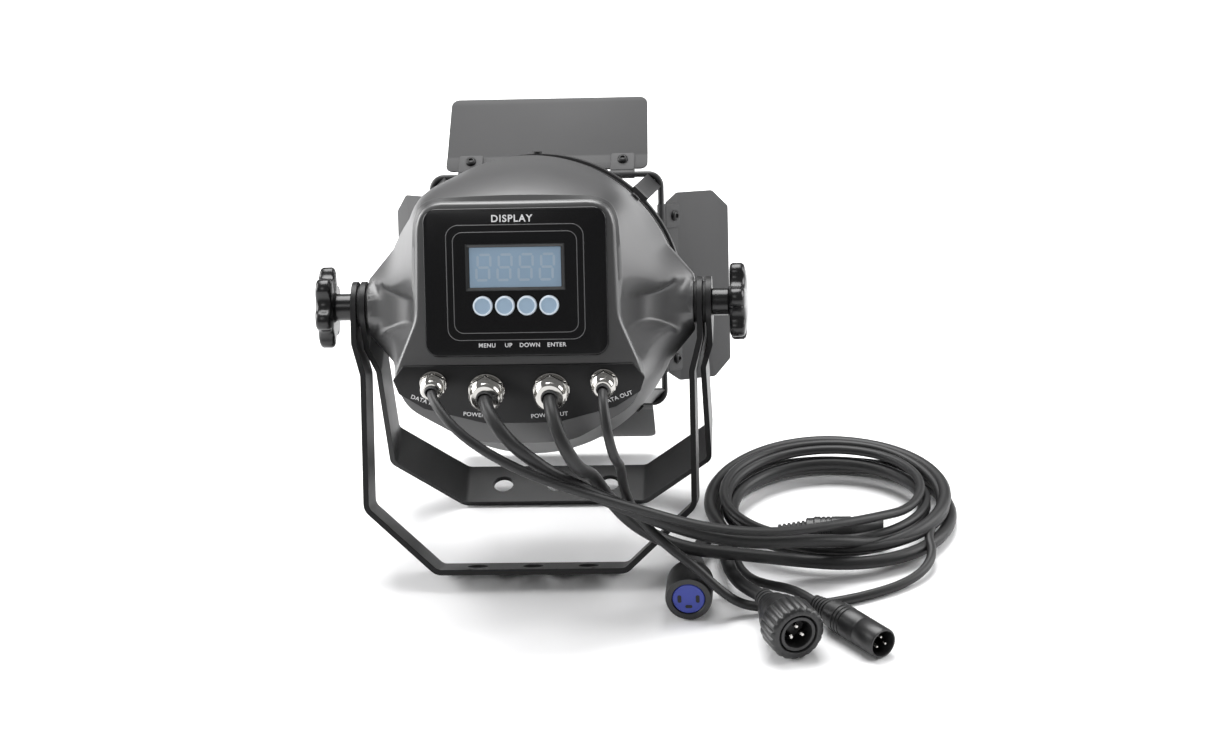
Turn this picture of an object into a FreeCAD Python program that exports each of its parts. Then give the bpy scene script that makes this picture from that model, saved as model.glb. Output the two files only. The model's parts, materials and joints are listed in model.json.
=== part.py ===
import FreeCAD, Part
import math
import os
import re
import Sketcher
from FreeCAD import Placement, Rotation, Vector

# A par can stage light on two splayed yokes, standing on the floor. Millimetres, +Z up.
# The origin is on the floor under the tilt axis. +X runs along the tilt axis, the beam points
# to +Y and down. Parts of the head are drawn about the tilt axis, with the beam along +Y.
sizes = {
    # stand
    "yoke_splay": 20.5, "yoke_reach": 168, "bend_reach": 126.7, "strap_width": 32,
    "strap_thick": 3.5, "leg_half": 104.5, "foot_half": 60, "joggle_start": 22,
    "joggle_end": 42, "joggle_radius": 8, "foot_hole_radius": 6.5, "foot_hole_pitch": 35,
    "hole_clearance": 0.3,
    # head
    "head_tilt": 19, "rim_radius": 93, "barrel_radius": 88, "shell_wall": 2.5, "rear_depth": 95,
    "rim_front": 4, "rim_back": 6, "rim_step": 0.8, "barrel_front": 50, "ring_radius": 90, "ring_front": 62,
    "ring_back": 47, "lens_opening": 79, "glass_thick": 4, "lip_thick": 2,
    "fit_gap": 0.2, "face_top": 70, "face_half": 60, "facet_top": 28, "facet_bottom": 73,
    "facet_tilt": 17.5, "ear_end": 101.5, "ear_radius": 17, "ear_root": 30, "washer_thick": 2,
    "washer_radius": 13, "insert_radius": 7, "insert_length": 12,
    # star knobs
    "stud_radius": 4, "knob_hub_radius": 8.5, "knob_hub_length": 11.5, "knob_radius": 25.5,
    "knob_thick": 11, "knob_lobe_radius": 8, "running_gap": 0.05,
    # display
    "panel_width": 110, "panel_height": 89, "panel_corner": 8, "panel_thick": 2.5,
    "panel_centre": 21.5, "window_width": 55, "window_height": 24, "window_rise": 9,
    "button_radius": 6, "button_pitch": 13.3, "button_drop": 14, "button_proud": 1.5,
    "button_length": 8, "button_gap": 0.2,
    # connector panel
    "plate_thick": 1.6, "plate_half": 76, "small_gland_radius": 8.2, "big_gland_radius": 11,
    "small_gland_x": 51.5, "small_gland_drop": 11, "big_gland_x": 19.5, "big_gland_drop": 16,
    "gland_length": 13, "gland_neck": 6,
    # inside
    "board_radius": 83, "board_thick": 2, "board_front": 34, "lens_thick": 5, "chip_side": 5,
    "chip_thick": 1.5, "sink_base": 8, "fin_thick": 2.5, "fin_depth": 34, "fin_half": 66,
    # barn doors
    "wire_half": 75, "wire_radius": 2, "wire_corner": 8, "wire_front": 112, "band_thick": 1.6,
    "band_back": 52, "stay_width": 12, "stay_thick": 2, "leaf_start": 5, "leaf_length": 62,
    "leaf_crease": 17, "leaf_thick": 1.2, "crease_turn": 5, "clip_width": 16, "clip_length": 15,
    "clip_thick": 1.2, "clip_gap": 0.15, "clip_spread": 50, "leaf_screw_radius": 2,
    "leaf_screw_head": 3.4, "top_open": 45, "right_open": 34, "bottom_open": 20, "left_open": 22,
    # cords and their connectors
    "data_cord": 6, "power_cord": 8.5, "coil_x": 182, "coil_y": 15, "coil_radius": 85,
    "coil_band": 30, "coil_height": 26, "plug_radius": 18, "plug_ring": 20,
    "data_plug_radius": 9.5, "data_plug_length": 44, "socket_radius": 14.5, "socket_length": 26,
    # fasteners
    "screw_radius": 1.5, "screw_head": 3,
}

doc = FreeCAD.newDocument("ParCanLight")
sheet = doc.addObject("Spreadsheet::Sheet", "Sizes")
for row, (alias, number) in enumerate(sizes.items(), start=1):
    sheet.set(f"A{row}", alias)
    sheet.set(f"B{row}", str(number))
    sheet.setAlias(f"B{row}", alias)
doc.recompute()


class Reader:
    """Reads a driving dimension from the sheet by its name."""

    def __getattr__(self, alias):
        return float(getattr(sheet, alias))


d = Reader()
nodes = []
ALONG_X, ALONG_Y, ALONG_Z = Vector(1, 0, 0), Vector(0, 1, 0), Vector(0, 0, 1)


def bound(text):
    """An expression in the sheet's names, as the expression engine reads it."""
    return re.sub(r"[a-z]+_[a-z_]+", lambda found: "Sizes." + found.group(), text)


def number(text):
    return float(sheet.evalExpression(bound(text)))


def turned_about_x(degrees, base=Vector()):
    return Placement(base, Rotation(ALONG_X, degrees))


pivot_height = (d.yoke_reach * math.cos(math.radians(d.yoke_splay))
                + d.strap_width / 2 * math.sin(math.radians(d.yoke_splay)))
pivot = Vector(0, 0, pivot_height)
head_place = turned_about_x(-d.head_tilt, pivot)


def keep(item, label, place=head_place):
    """Name a finished sub-part, put it in its place and list it for writing."""
    item.Label = label
    item.Placement = place
    nodes.append(item)
    return item


def feature(label, shape, place=head_place):
    item = doc.addObject("Part::Feature", label)
    item.Shape = shape
    return keep(item, label, place.multiply(shape.Placement))


def sketch_in(body, plane, name):
    sketch = body.newObject("Sketcher::SketchObject", name)
    origin_plane = [p for p in body.Origin.OriginFeatures if p.Role == plane][0]
    sketch.AttachmentSupport = [(origin_plane, "")]
    sketch.MapMode = "FlatFace"
    return sketch


def outline(sketch, corners):
    """A closed outline through corners, each a pair of expressions in the sheet's names."""
    spots = [Vector(number(x), number(y), 0) for x, y in corners]
    count = len(spots)
    for k in range(count):
        sketch.addGeometry(Part.LineSegment(spots[k], spots[(k + 1) % count]), False)
    for k in range(count):
        sketch.addConstraint(Sketcher.Constraint("Coincident", k, 2, (k + 1) % count, 1))
    for k, (x, y) in enumerate(corners):
        for kind, text in (("DistanceX", x), ("DistanceY", y)):
            place = sketch.addConstraint(Sketcher.Constraint(kind, -1, 1, k, 1, number(text)))
            sketch.setExpression(f"Constraints[{place}]", bound(text))


def turned(label, corners, place=head_place):
    """A ring or disc turned about the beam axis: corners are (radius, distance forward)."""
    body = doc.addObject("PartDesign::Body", label + "_body")
    sketch = sketch_in(body, "XY_Plane", label + "_profile")
    outline(sketch, corners)
    turn = body.newObject("PartDesign::Revolution", label + "_turn")
    turn.Profile = sketch
    turn.ReferenceAxis = (sketch, ["V_Axis"])
    turn.Angle = 360
    body.Tip = turn
    doc.recompute()
    return keep(body, label, place)


def cylinder(radius, length, base, direction):
    return Part.makeCylinder(radius, length, base, direction)


def fused(shapes):
    whole = shapes[0]
    if len(shapes) > 1:
        whole = whole.fuse(shapes[1:])
    return whole.removeSplitter()


def group(shapes):
    return Part.makeCompound(shapes)


def rounded_box(width, height, corner, thickness):
    """A plate in the XZ plane, centred on the origin, from y = 0 back to -thickness."""
    plate = Part.makeBox(width, thickness, height, Vector(-width / 2, -thickness, -height / 2))
    edges = [e for e in plate.Edges if abs(e.tangentAt(0).y) > 0.9]
    return plate.makeFillet(corner, edges)


# ---- paths with rounded corners ----

def corner_arc(before, at, after, radius):
    """Where an arc of this radius leaves one run, its middle, and where it joins the next."""
    into = (at - before).normalize()
    out = (after - at).normalize()
    turn = into.getAngle(out)
    reach = radius * math.tan(turn / 2)
    inward = (out - into).normalize()
    middle = at + inward * (radius / math.cos(turn / 2) - radius)
    return at - into * reach, middle, at + out * reach


def rounded_path(points, radii, closed=False):
    """Straight runs through points, joined by tangent arcs."""
    count = len(points)
    turns = range(count) if closed else range(1, count - 1)
    arcs = {k: corner_arc(points[k - 1], points[k], points[(k + 1) % count], radii[k])
            for k in turns}
    edges = []
    for k in range(count if closed else count - 1):
        start = arcs[k][2] if k in arcs else points[k]
        following = (k + 1) % count
        end = arcs[following][0] if following in arcs else points[following]
        if (end - start).Length > 1e-4:
            edges.append(Part.LineSegment(start, end).toShape())
        if following in arcs:
            first, middle, last = arcs[following]
            edges.append(Part.Arc(first, middle, last).toShape())
    return Part.Wire(edges)


def swept(path, radius):
    start = path.OrderedEdges[0]
    at = start.valueAt(start.FirstParameter)
    along = start.tangentAt(start.FirstParameter)
    ring = Part.Wire(Part.makeCircle(radius, at, along))
    return path.makePipeShell([ring], True, False)


def folded_strip(points, radius, thickness, width):
    """A strip folded along points in the XZ plane, with its width centred on that plane."""
    radii = [radius] * len(points)
    sides = []
    for side in (-1, 1):
        edges = []
        ends = []
        for k in range(len(points) - 1):
            run = (points[k + 1] - points[k]).normalize()
            across = Vector(-run.z, 0, run.x) * (side * thickness / 2)
            ends.append((points[k] + across, points[k + 1] + across, across))
        start = ends[0][0]
        for k in range(1, len(points) - 1):
            first, middle, last = corner_arc(points[k - 1], points[k], points[k + 1], radii[k])
            across = ends[k - 1][2]
            after = ends[k][2]
            bisector = (across + after).normalize() * (thickness / 2)
            edges.append(Part.LineSegment(start, first + across).toShape())
            edges.append(Part.Arc(first + across, middle + bisector, last + after).toShape())
            start = last + after
        edges.append(Part.LineSegment(start, ends[-1][1]).toShape())
        sides.append((edges, ends[0][0], ends[-1][1]))
    near, far = sides
    caps = [Part.LineSegment(near[1], far[1]).toShape(), Part.LineSegment(near[2], far[2]).toShape()]
    face = Part.Face(Part.Wire(Part.__sortEdges__(near[0] + far[0] + caps)))
    solid = face.extrude(Vector(0, width, 0))
    solid.translate(Vector(0, -width / 2, 0))
    return solid


# ---- stand ----

def yoke_shift():
    """Each yoke sits this far off centre, so its arms lie beside the other's with a washer between."""
    return (d.strap_thick + d.washer_thick) / 2


def yoke_shape():
    """A strap bent into a U: arms joggled outward at the pivot, legs, diagonals and a foot."""
    half = d.strap_thick / 2
    diagonal = math.atan2(d.leg_half - d.foot_half, d.yoke_reach - d.bend_reach)
    leg = d.leg_half - half
    arm = d.ear_end + d.washer_thick + half + yoke_shift()
    low = d.yoke_reach - half
    bend = d.bend_reach - half * math.tan(diagonal / 2)
    foot = d.foot_half - half * math.tan((math.pi / 2 - diagonal) / 2)
    right = [(arm, -d.strap_width / 2), (arm, d.joggle_start), (leg, d.joggle_end), (leg, bend), (foot, low)]
    left = [(-x, drop) for x, drop in reversed(right)]
    points = [Vector(x, 0, -drop) for x, drop in right + left]
    strap = folded_strip(points, d.joggle_radius, d.strap_thick, d.strap_width)
    reach = arm + d.strap_width
    low_corner = Vector(-reach, -d.strap_width / 2, -d.yoke_reach)
    ends = fused([
        cylinder(d.strap_width / 2, 2 * reach, Vector(-reach, 0, 0), ALONG_X),
        Part.makeBox(2 * reach, d.strap_width, d.yoke_reach, low_corner),
    ])
    strap = strap.common(ends)
    holes = [cylinder(d.stud_radius + d.hole_clearance, 2 * reach, Vector(-reach, 0, 0), ALONG_X)]
    for k in (-1, 0, 1):
        base = Vector(k * d.foot_hole_pitch, 0, -d.yoke_reach - 1)
        holes.append(cylinder(d.foot_hole_radius, d.strap_thick + 2, base, ALONG_Z))
    return strap.cut(holes)


def stand():
    shape = yoke_shape()
    near = turned_about_x(-d.yoke_splay, pivot - ALONG_X * yoke_shift())
    far = turned_about_x(d.yoke_splay, pivot + ALONG_X * yoke_shift())
    feature("near_yoke", shape, near)
    feature("far_yoke", shape, far)


def washer(outer, inner, thick, start):
    ring = cylinder(outer, thick, Vector(start, 0, 0), ALONG_X)
    return ring.cut(cylinder(inner, thick, Vector(start, 0, 0), ALONG_X))


def washers():
    bore = d.stud_radius + d.hole_clearance
    thick = d.washer_thick
    arm_face = d.ear_end + thick + d.strap_thick
    ear = [washer(d.washer_radius, bore, thick, x) for x in (-d.ear_end - thick, d.ear_end)]
    feature("ear_washers", group(ear))
    arm = [washer(d.washer_radius, bore, thick, x) for x in (-arm_face - thick, arm_face)]
    feature("arm_washers", group(arm))
    length = d.insert_length
    inserts = [washer(d.insert_radius, d.stud_radius + d.running_gap, length, x)
               for x in (-d.ear_end, d.ear_end - length)]
    feature("pivot_inserts", group(inserts))


# ---- head shells ----

def ray_length(angle, corners):
    """How far a ray from the axis runs before it leaves a convex outline."""
    best = None
    for k, (x0, z0) in enumerate(corners):
        x1, z1 = corners[(k + 1) % len(corners)]
        cross = math.cos(angle) * (z1 - z0) - math.sin(angle) * (x1 - x0)
        if abs(cross) < 1e-9:
            continue
        reach = (x0 * (z1 - z0) - z0 * (x1 - x0)) / cross
        share = (x0 * math.sin(angle) - z0 * math.cos(angle)) / cross
        if reach > 0 and -1e-9 <= share <= 1 + 1e-9:
            best = reach
    return best


def section(corners, roundness, forward, inset):
    """A closed curve between the face outline (roundness 0) and the rim circle (1)."""
    count = 32
    spots = []
    for k in range(count):
        angle = 2 * math.pi * k / count
        radius = (1 - roundness) * ray_length(angle, corners) + roundness * d.rim_radius - inset
        spots.append(Vector(radius * math.cos(angle), forward, radius * math.sin(angle)))
    curve = Part.BSplineCurve()
    curve.interpolate(Points=spots, PeriodicFlag=True)
    return Part.Wire(curve.toShape())


def dome(inset):
    top, half, low = d.face_top, d.face_half, d.facet_bottom
    right = [(half - 10, top), (half, top - 8), (half + 4, 10), (half + 18, -d.facet_top),
             (half + 12, -d.facet_top - 22), (half * 0.45, -low)]
    corners = right + [(-x, z) for x, z in reversed(right)]
    rear = d.rear_depth - inset
    shares = [(0, -rear), (0.55, -rear * 0.62), (0.9, -rear * 0.3), (1, d.rim_step - d.rim_back)]
    curves = [section(corners, share, y, inset + d.rim_step * share) for share, y in shares]
    return Part.makeLoft(curves, True, False)


def facet_cutter(inset):
    """Takes off everything behind the slanted lower facet."""
    box = Part.makeBox(300, 60, 120, Vector(-150, -60, -120))
    box.rotate(Vector(), ALONG_X, d.facet_tilt)
    box.translate(Vector(0, -d.rear_depth + inset, -d.facet_top))
    return box


def facet_place(drop=0, x=0, out=0):
    """A point on the lower facet: distance down it, sideways and out of it."""
    down = math.radians(d.facet_tilt)
    y = -d.rear_depth + drop * math.sin(down) - out * math.cos(down)
    z = -d.facet_top - drop * math.cos(down) - out * math.sin(down)
    return Vector(x, y, z)


facet_out = facet_place(0, 0, 1) - facet_place()
gland_spots = [
    ("data_in_gland", -d.small_gland_x, d.small_gland_drop, d.small_gland_radius, d.data_cord),
    ("power_in_gland", -d.big_gland_x, d.big_gland_drop, d.big_gland_radius, d.power_cord),
    ("power_out_gland", d.big_gland_x, d.big_gland_drop, d.big_gland_radius, d.power_cord),
    ("data_out_gland", d.small_gland_x, d.small_gland_drop, d.small_gland_radius, d.data_cord),
]


def rear_housing():
    rim = cylinder(d.rim_radius, d.rim_front + d.rim_back, Vector(0, -d.rim_back, 0), ALONG_Y)
    ears = []
    for side in (-1, 1):
        way = ALONG_X * side
        ears.append(cylinder(d.ear_radius, 50, way * (d.ear_end - 50), way))
        ears.append(Part.makeCone(d.ear_root, d.ear_radius, 40, way * (d.ear_end - 46), way))
    outer = fused([dome(0).cut(facet_cutter(0)), rim] + ears)
    wall = d.shell_wall
    inner = fused([
        dome(wall).cut(facet_cutter(wall)),
        cylinder(d.barrel_radius + d.fit_gap, d.barrel_front, Vector(0, -d.rim_back - 1, 0), ALONG_Y),
    ])
    shell = outer.cut(inner)
    bosses = [cylinder(d.insert_radius + wall, d.insert_length, Vector(x, 0, 0), ALONG_X)
              for x in (-d.ear_end, d.ear_end - d.insert_length)]
    shell = fused([shell] + bosses)
    cuts = [cylinder(d.insert_radius, 2 * d.ear_end, Vector(-d.ear_end, 0, 0), ALONG_X)]
    opening = rounded_box(d.panel_width - 24, d.panel_height - 20, d.panel_corner, 20)
    opening.translate(Vector(0, -d.rear_depth + 10, d.panel_centre))
    cuts.append(opening)
    for _, x, drop, radius, cord in gland_spots:
        cuts.append(cylinder(d.gland_neck, 20, facet_place(drop, x, -10), facet_out))
    feature("rear_housing", shell.cut(cuts))


def screw_spots():
    """Four places round the rim, off the ears."""
    return [(-1, math.radians(a)) for a in (45, 135, 225, 315)]


def radial_screw(radius, angle, forward, length):
    """A screw that points at the beam axis, its head outside radius."""
    out = Vector(math.cos(angle), 0, math.sin(angle))
    base = out * radius + Vector(0, forward, 0)
    shank = cylinder(d.screw_radius, length, base - out * length, out)
    return fused([shank, cylinder(d.screw_head, d.screw_radius, base, out)])


def shells():
    rear_housing()
    turned("front_barrel", [
        ("barrel_radius - shell_wall", "-rim_back"), ("barrel_radius", "-rim_back"),
        ("barrel_radius", "barrel_front"), ("barrel_radius - shell_wall", "barrel_front"),
    ])
    turned("front_ring", [
        ("barrel_radius + fit_gap", "ring_back"), ("ring_radius", "ring_back"),
        ("ring_radius", "ring_front"), ("lens_opening", "ring_front"),
        ("lens_opening", "ring_front - lip_thick"),
        ("barrel_radius + fit_gap", "ring_front - lip_thick"),
    ])
    turned("front_glass", [
        ("0", "ring_front - lip_thick - glass_thick"),
        ("barrel_radius - fit_gap", "ring_front - lip_thick - glass_thick"),
        ("barrel_radius - fit_gap", "ring_front - lip_thick"), ("0", "ring_front - lip_thick"),
    ])
    turned("glass_gasket", [
        ("lens_opening", "barrel_front"), ("barrel_radius - fit_gap", "barrel_front"),
        ("barrel_radius - fit_gap", "ring_front - lip_thick - glass_thick"),
        ("lens_opening", "ring_front - lip_thick - glass_thick"),
    ])


def inside():
    """The light engine and its electronics, in the sealed head."""
    turned("led_board", [
        ("0", "board_front - board_thick"), ("board_radius", "board_front - board_thick"),
        ("board_radius", "board_front"), ("0", "board_front"),
    ])
    turned("lens_plate", [
        ("0", "board_front + chip_thick + lens_thick"),
        ("board_radius", "board_front + chip_thick + lens_thick"),
        ("board_radius", "board_front + chip_thick + 2 * lens_thick"),
        ("0", "board_front + chip_thick + 2 * lens_thick"),
    ])
    chips = []
    for count, share in ((1, 0), (6, 0.27), (12, 0.54), (18, 0.82)):
        for k in range(count):
            angle = 2 * math.pi * k / count
            x, z = (share * d.board_radius * f(angle) for f in (math.cos, math.sin))
            corner = Vector(x - d.chip_side / 2, d.board_front, z - d.chip_side / 2)
            chips.append(Part.makeBox(d.chip_side, d.chip_thick, d.chip_side, corner))
    feature("led_chips", group(chips))
    back = d.board_front - d.board_thick
    base = cylinder(d.board_radius, d.sink_base, Vector(0, back - d.sink_base, 0), ALONG_Y)
    fins = []
    for k in range(-5, 6):
        x = k * 10
        half = math.sqrt(d.fin_half ** 2 - x ** 2)
        corner = Vector(x - d.fin_thick / 2, back - d.sink_base - d.fin_depth, -half)
        fins.append(Part.makeBox(d.fin_thick, d.fin_depth, 2 * half, corner))
    feature("heat_sink", fused([base] + fins))
    supply = doc.addObject("Part::Box", "supply_box")
    for side, length in (("Length", 90), ("Width", 30), ("Height", 46)):
        setattr(supply, side, length)
    keep(supply, "power_supply", head_place.multiply(Placement(Vector(-45, -52, -23), Rotation())))
    board = doc.addObject("Part::Box", "board_box")
    board.setExpression("Length", bound("panel_width - 40"))
    board.Width = d.board_thick
    board.setExpression("Height", bound("panel_height - 40"))
    corner = Vector(-(d.panel_width - 40) / 2, -d.rear_depth + 14,
                    d.panel_centre - (d.panel_height - 40) / 2)
    keep(board, "control_board", head_place.multiply(Placement(corner, Rotation())))


def display():
    """The flat panel, its window and four push buttons."""
    back = Vector(0, -d.rear_depth, d.panel_centre)
    plate = rounded_box(d.panel_width, d.panel_height, d.panel_corner, d.panel_thick)
    pane = Part.makeBox(d.window_width, d.panel_thick - 1, d.window_height,
                        Vector(-d.window_width / 2, -d.panel_thick + 1, d.window_rise - d.window_height / 2))
    cuts = [pane.copy()]
    cuts.append(Part.makeBox(d.window_width, 4, d.window_height,
                             Vector(-d.window_width / 2, -4, d.window_rise - d.window_height / 2)))
    names = ("menu_button", "up_button", "down_button", "enter_button")
    for k, name in enumerate(names):
        x = (k - 1.5) * d.button_pitch
        base = Vector(x, -d.panel_thick - d.button_proud, -d.button_drop)
        key = doc.addObject("Part::Cylinder", name + "_key")
        key.setExpression("Radius", bound("button_radius"))
        key.setExpression("Height", bound("button_length"))
        keep(key, name, head_place.multiply(Placement(back + base, Rotation(ALONG_X, -90))))
        cuts.append(cylinder(d.button_radius + d.button_gap, 10, Vector(x, -8, -d.button_drop), ALONG_Y))
    plate = plate.cut(cuts)
    for piece in (plate, pane):
        piece.translate(back)
    feature("display_panel", plate)
    feature("display_window", pane)


def connector_panel():
    right = [(d.plate_half - 6.5, 0), (d.plate_half, 9), (d.plate_half - 3, 18),
             (d.plate_half - 18, 28), (22, 38)]
    corners = [facet_place(drop, x) for x, drop in right + [(-x, drop) for x, drop in reversed(right)]]
    plate = Part.Face(Part.makePolygon(corners + corners[:1])).extrude(facet_out * d.plate_thick)
    cuts = []
    for name, x, drop, radius, _ in gland_spots:
        cuts.append(cylinder(d.gland_neck, 20, facet_place(drop, x, -10), facet_out))
        nut = cylinder(radius, 4, facet_place(drop, x, d.plate_thick), facet_out)
        collar_at = facet_place(drop, x, d.plate_thick + 4)
        collar = cylinder(radius - 1.5, d.gland_length - 4, collar_at, facet_out)
        neck = cylinder(d.gland_neck, 12, facet_place(drop, x, d.plate_thick - 12), facet_out)
        mouth = facet_place(drop, x, d.plate_thick + d.gland_length - 5)
        hollow = cylinder(radius - 3.5, 6, mouth, facet_out)
        feature(name, fused([nut, collar, neck]).cut(hollow))
    feature("connector_panel", plate.cut(cuts))


def screws():
    length = d.rim_radius - d.barrel_radius + 2
    housing = [radial_screw(d.rim_radius, angle, forward, length) for forward, angle in screw_spots()]
    feature("housing_screws", group(housing))
    band = d.ring_radius + d.fit_gap + d.band_thick
    length = band - d.barrel_radius - d.fit_gap
    ring = [radial_screw(band, math.radians(a), d.ring_front - 6, length) for a in (0, 90, 180, 270)]
    feature("ring_screws", group(ring))


# ---- star knobs ----

def knobs():
    start = d.ear_end + 2 * d.washer_thick + 2 * d.strap_thick
    for side, name in ((-1, "left"), (1, "right")):
        way = ALONG_X * side
        hub = cylinder(d.knob_hub_radius, d.knob_hub_length + 1, way * start, way)
        plate_at = way * (start + d.knob_hub_length)
        lobes = [cylinder(d.knob_radius - d.knob_lobe_radius + 1, d.knob_thick, plate_at, way)]
        for k in range(6):
            angle = math.radians(60 * k + (0 if side > 0 else 30))
            out = Vector(0, math.cos(angle), math.sin(angle)) * (d.knob_radius - d.knob_lobe_radius)
            lobes.append(cylinder(d.knob_lobe_radius, d.knob_thick, plate_at + out, way))
        core = cylinder(d.stud_radius, d.knob_hub_length, way * start, way)
        feature(name + "_star_knob", fused([hub] + lobes).cut(core))
        length = start + d.knob_hub_length - d.ear_end + d.insert_length - 2
        stud = cylinder(d.stud_radius, length, way * (start + d.knob_hub_length - length), way)
        feature(name + "_knob_stud", stud)


# ---- barn doors ----

def barn_frame():
    inner = d.ring_radius + d.fit_gap
    outer = inner + d.band_thick
    band = cylinder(outer, d.ring_front - d.band_back, Vector(0, d.band_back, 0), ALONG_Y)
    band = band.cut(cylinder(inner, d.ring_front - d.band_back, Vector(0, d.band_back, 0), ALONG_Y))
    pieces = [band]
    reach = d.wire_half * math.sqrt(2) - d.wire_corner * (math.sqrt(2) - 1) - d.wire_radius
    for quarter in range(4):
        on_band = outer - 0.3 + d.stay_thick / 2
        run = [Vector(d.band_back, 0, on_band), Vector(d.ring_front + 4, 0, on_band),
               Vector(d.wire_front, 0, reach - d.stay_thick / 2)]
        stay = folded_strip(run, 10, d.stay_thick, d.stay_width)
        stay.rotate(Vector(), ALONG_Z, 90)
        stay.rotate(Vector(), ALONG_Y, 45 + 90 * quarter)
        pieces.append(stay)
    frame = fused(pieces)
    holes = []
    for quarter in range(4):
        out = Vector(math.cos(quarter * math.pi / 2), 0, math.sin(quarter * math.pi / 2))
        start = out * (outer - 6) + ALONG_Y * (d.ring_front - 6)
        holes.append(cylinder(d.screw_radius, 12, start, out))
    feature("barn_door_ring", frame.cut(holes))
    half = d.wire_half
    square = ((0, -1), (1, -1), (1, 1), (-1, 1), (-1, -1))
    corners = [Vector(x * half, d.wire_front, z * half) for x, z in square]
    path = rounded_path(corners + [corners[0]], [d.wire_corner] * 6)
    feature("barn_door_wire", swept(path, d.wire_radius))


def leaf_shape(hinge_half, wide_half, tip_half):
    """A sheet leaf: its hinge along X at the origin, running forward, folded a little."""
    length = d.leaf_length
    turn = math.radians(d.crease_turn)
    past = length - d.leaf_crease
    tip = Vector(d.leaf_crease + past * math.cos(turn), 0, past * math.sin(turn))
    line = [Vector(d.leaf_start, 0, 0), Vector(d.leaf_crease, 0, 0), tip]
    sheet_metal = folded_strip(line, 6, d.leaf_thick, 2 * wide_half)
    sheet_metal.rotate(Vector(), ALONG_Z, 90)
    right = [(hinge_half, d.leaf_start - 1), (wide_half, d.leaf_crease),
             (wide_half, length - 14), (tip_half, length + 1)]
    corners = [Vector(x, y, -10) for x, y in right + [(-x, y) for x, y in reversed(right)]]
    prism = Part.Face(Part.makePolygon(corners + corners[:1])).extrude(ALONG_Z * 30)
    return sheet_metal.common(prism)


def clip_spots(spread):
    return [Vector(x, d.leaf_start + 7, 0) for x in (-spread, spread)]


def leaf_screw(spot):
    low = spot - ALONG_Z * (d.leaf_thick / 2 + 2)
    shank = cylinder(d.leaf_screw_radius, 2 + d.leaf_thick + d.clip_thick, low, ALONG_Z)
    top = spot + ALONG_Z * (d.leaf_thick / 2 + d.clip_thick)
    return fused([shank, cylinder(d.leaf_screw_head, 1.8, top, ALONG_Z)])


def leaf_clips(spread):
    """Folded clips round the wire, each with its screw, as one group."""
    inner = d.wire_radius + d.clip_gap
    outer = inner + d.clip_thick
    pieces = []
    for spot in clip_spots(spread):
        start = Vector(spot.x - d.clip_width / 2, 0, 0)
        loop = cylinder(outer, d.clip_width, start, ALONG_X)
        tab = Part.makeBox(d.clip_width, d.clip_length, d.clip_thick, start + Vector(0, 0, d.leaf_thick / 2))
        clip = fused([loop, tab]).cut([
            cylinder(inner, d.clip_width, start, ALONG_X),
            cylinder(d.leaf_screw_radius, 12, spot - ALONG_Z * 6, ALONG_Z),
        ])
        pieces += [clip, leaf_screw(spot)]
    return group(pieces)


def leaves():
    kinds = [
        ("top", 0, d.top_open, (66.5, 66.5, 65), d.clip_spread),
        ("right", 90, d.right_open, (56, 62, 51), d.clip_spread - 3),
        ("bottom", 180, d.bottom_open, (66.5, 66.5, 65), d.clip_spread),
        ("left", 270, d.left_open, (56, 62, 51), d.clip_spread - 3),
    ]
    for name, side, opening, halves, spread in kinds:
        place = head_place.multiply(Placement(Vector(), Rotation(ALONG_Y, side)))
        place = place.multiply(turned_about_x(opening, Vector(0, d.wire_front, d.wire_half)))
        shape = leaf_shape(*halves)
        below = [spot - ALONG_Z * 6 for spot in clip_spots(spread)]
        holes = [cylinder(d.leaf_screw_radius, 12, spot, ALONG_Z) for spot in below]
        feature(name + "_leaf", shape.cut(holes), place)
        feature(name + "_leaf_clips", leaf_clips(spread), place)


# ---- cords ----

def gland_mouth(index):
    """Where a cord comes out of its gland, and the way it points, in the light's frame."""
    _, x, drop, _, _ = gland_spots[index]
    at = head_place.multVec(facet_place(drop, x, d.plate_thick + d.gland_length - 5))
    ahead = head_place.multVec(facet_place(drop, x, d.plate_thick + d.gland_length + 7))
    return at, ahead


def cord_tube(label, spots, diameter):
    """A tube along straight runs joined by arcs as large as their runs allow."""
    points = [Vector(*spot) if not isinstance(spot, Vector) else spot for spot in spots]
    radii = [0] * len(points)
    for k in range(1, len(points) - 1):
        into = points[k] - points[k - 1]
        out = points[k + 1] - points[k]
        turn = into.getAngle(out)
        radii[k] = 0.45 * min(into.Length, out.Length) / math.tan(turn / 2)
    path = rounded_path(points, radii)
    tube = swept(path, diameter / 2)
    expected = math.pi * diameter ** 2 / 4 * path.Length
    bends = ", ".join(f"{radius:.0f}" for radius in radii[1:-1])
    print(f"{label}: length {path.Length:.0f}, radii {bends},"
          f" volume {tube.Volume / expected:.4f} of section times length")
    feature(label, tube, Placement())


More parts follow.
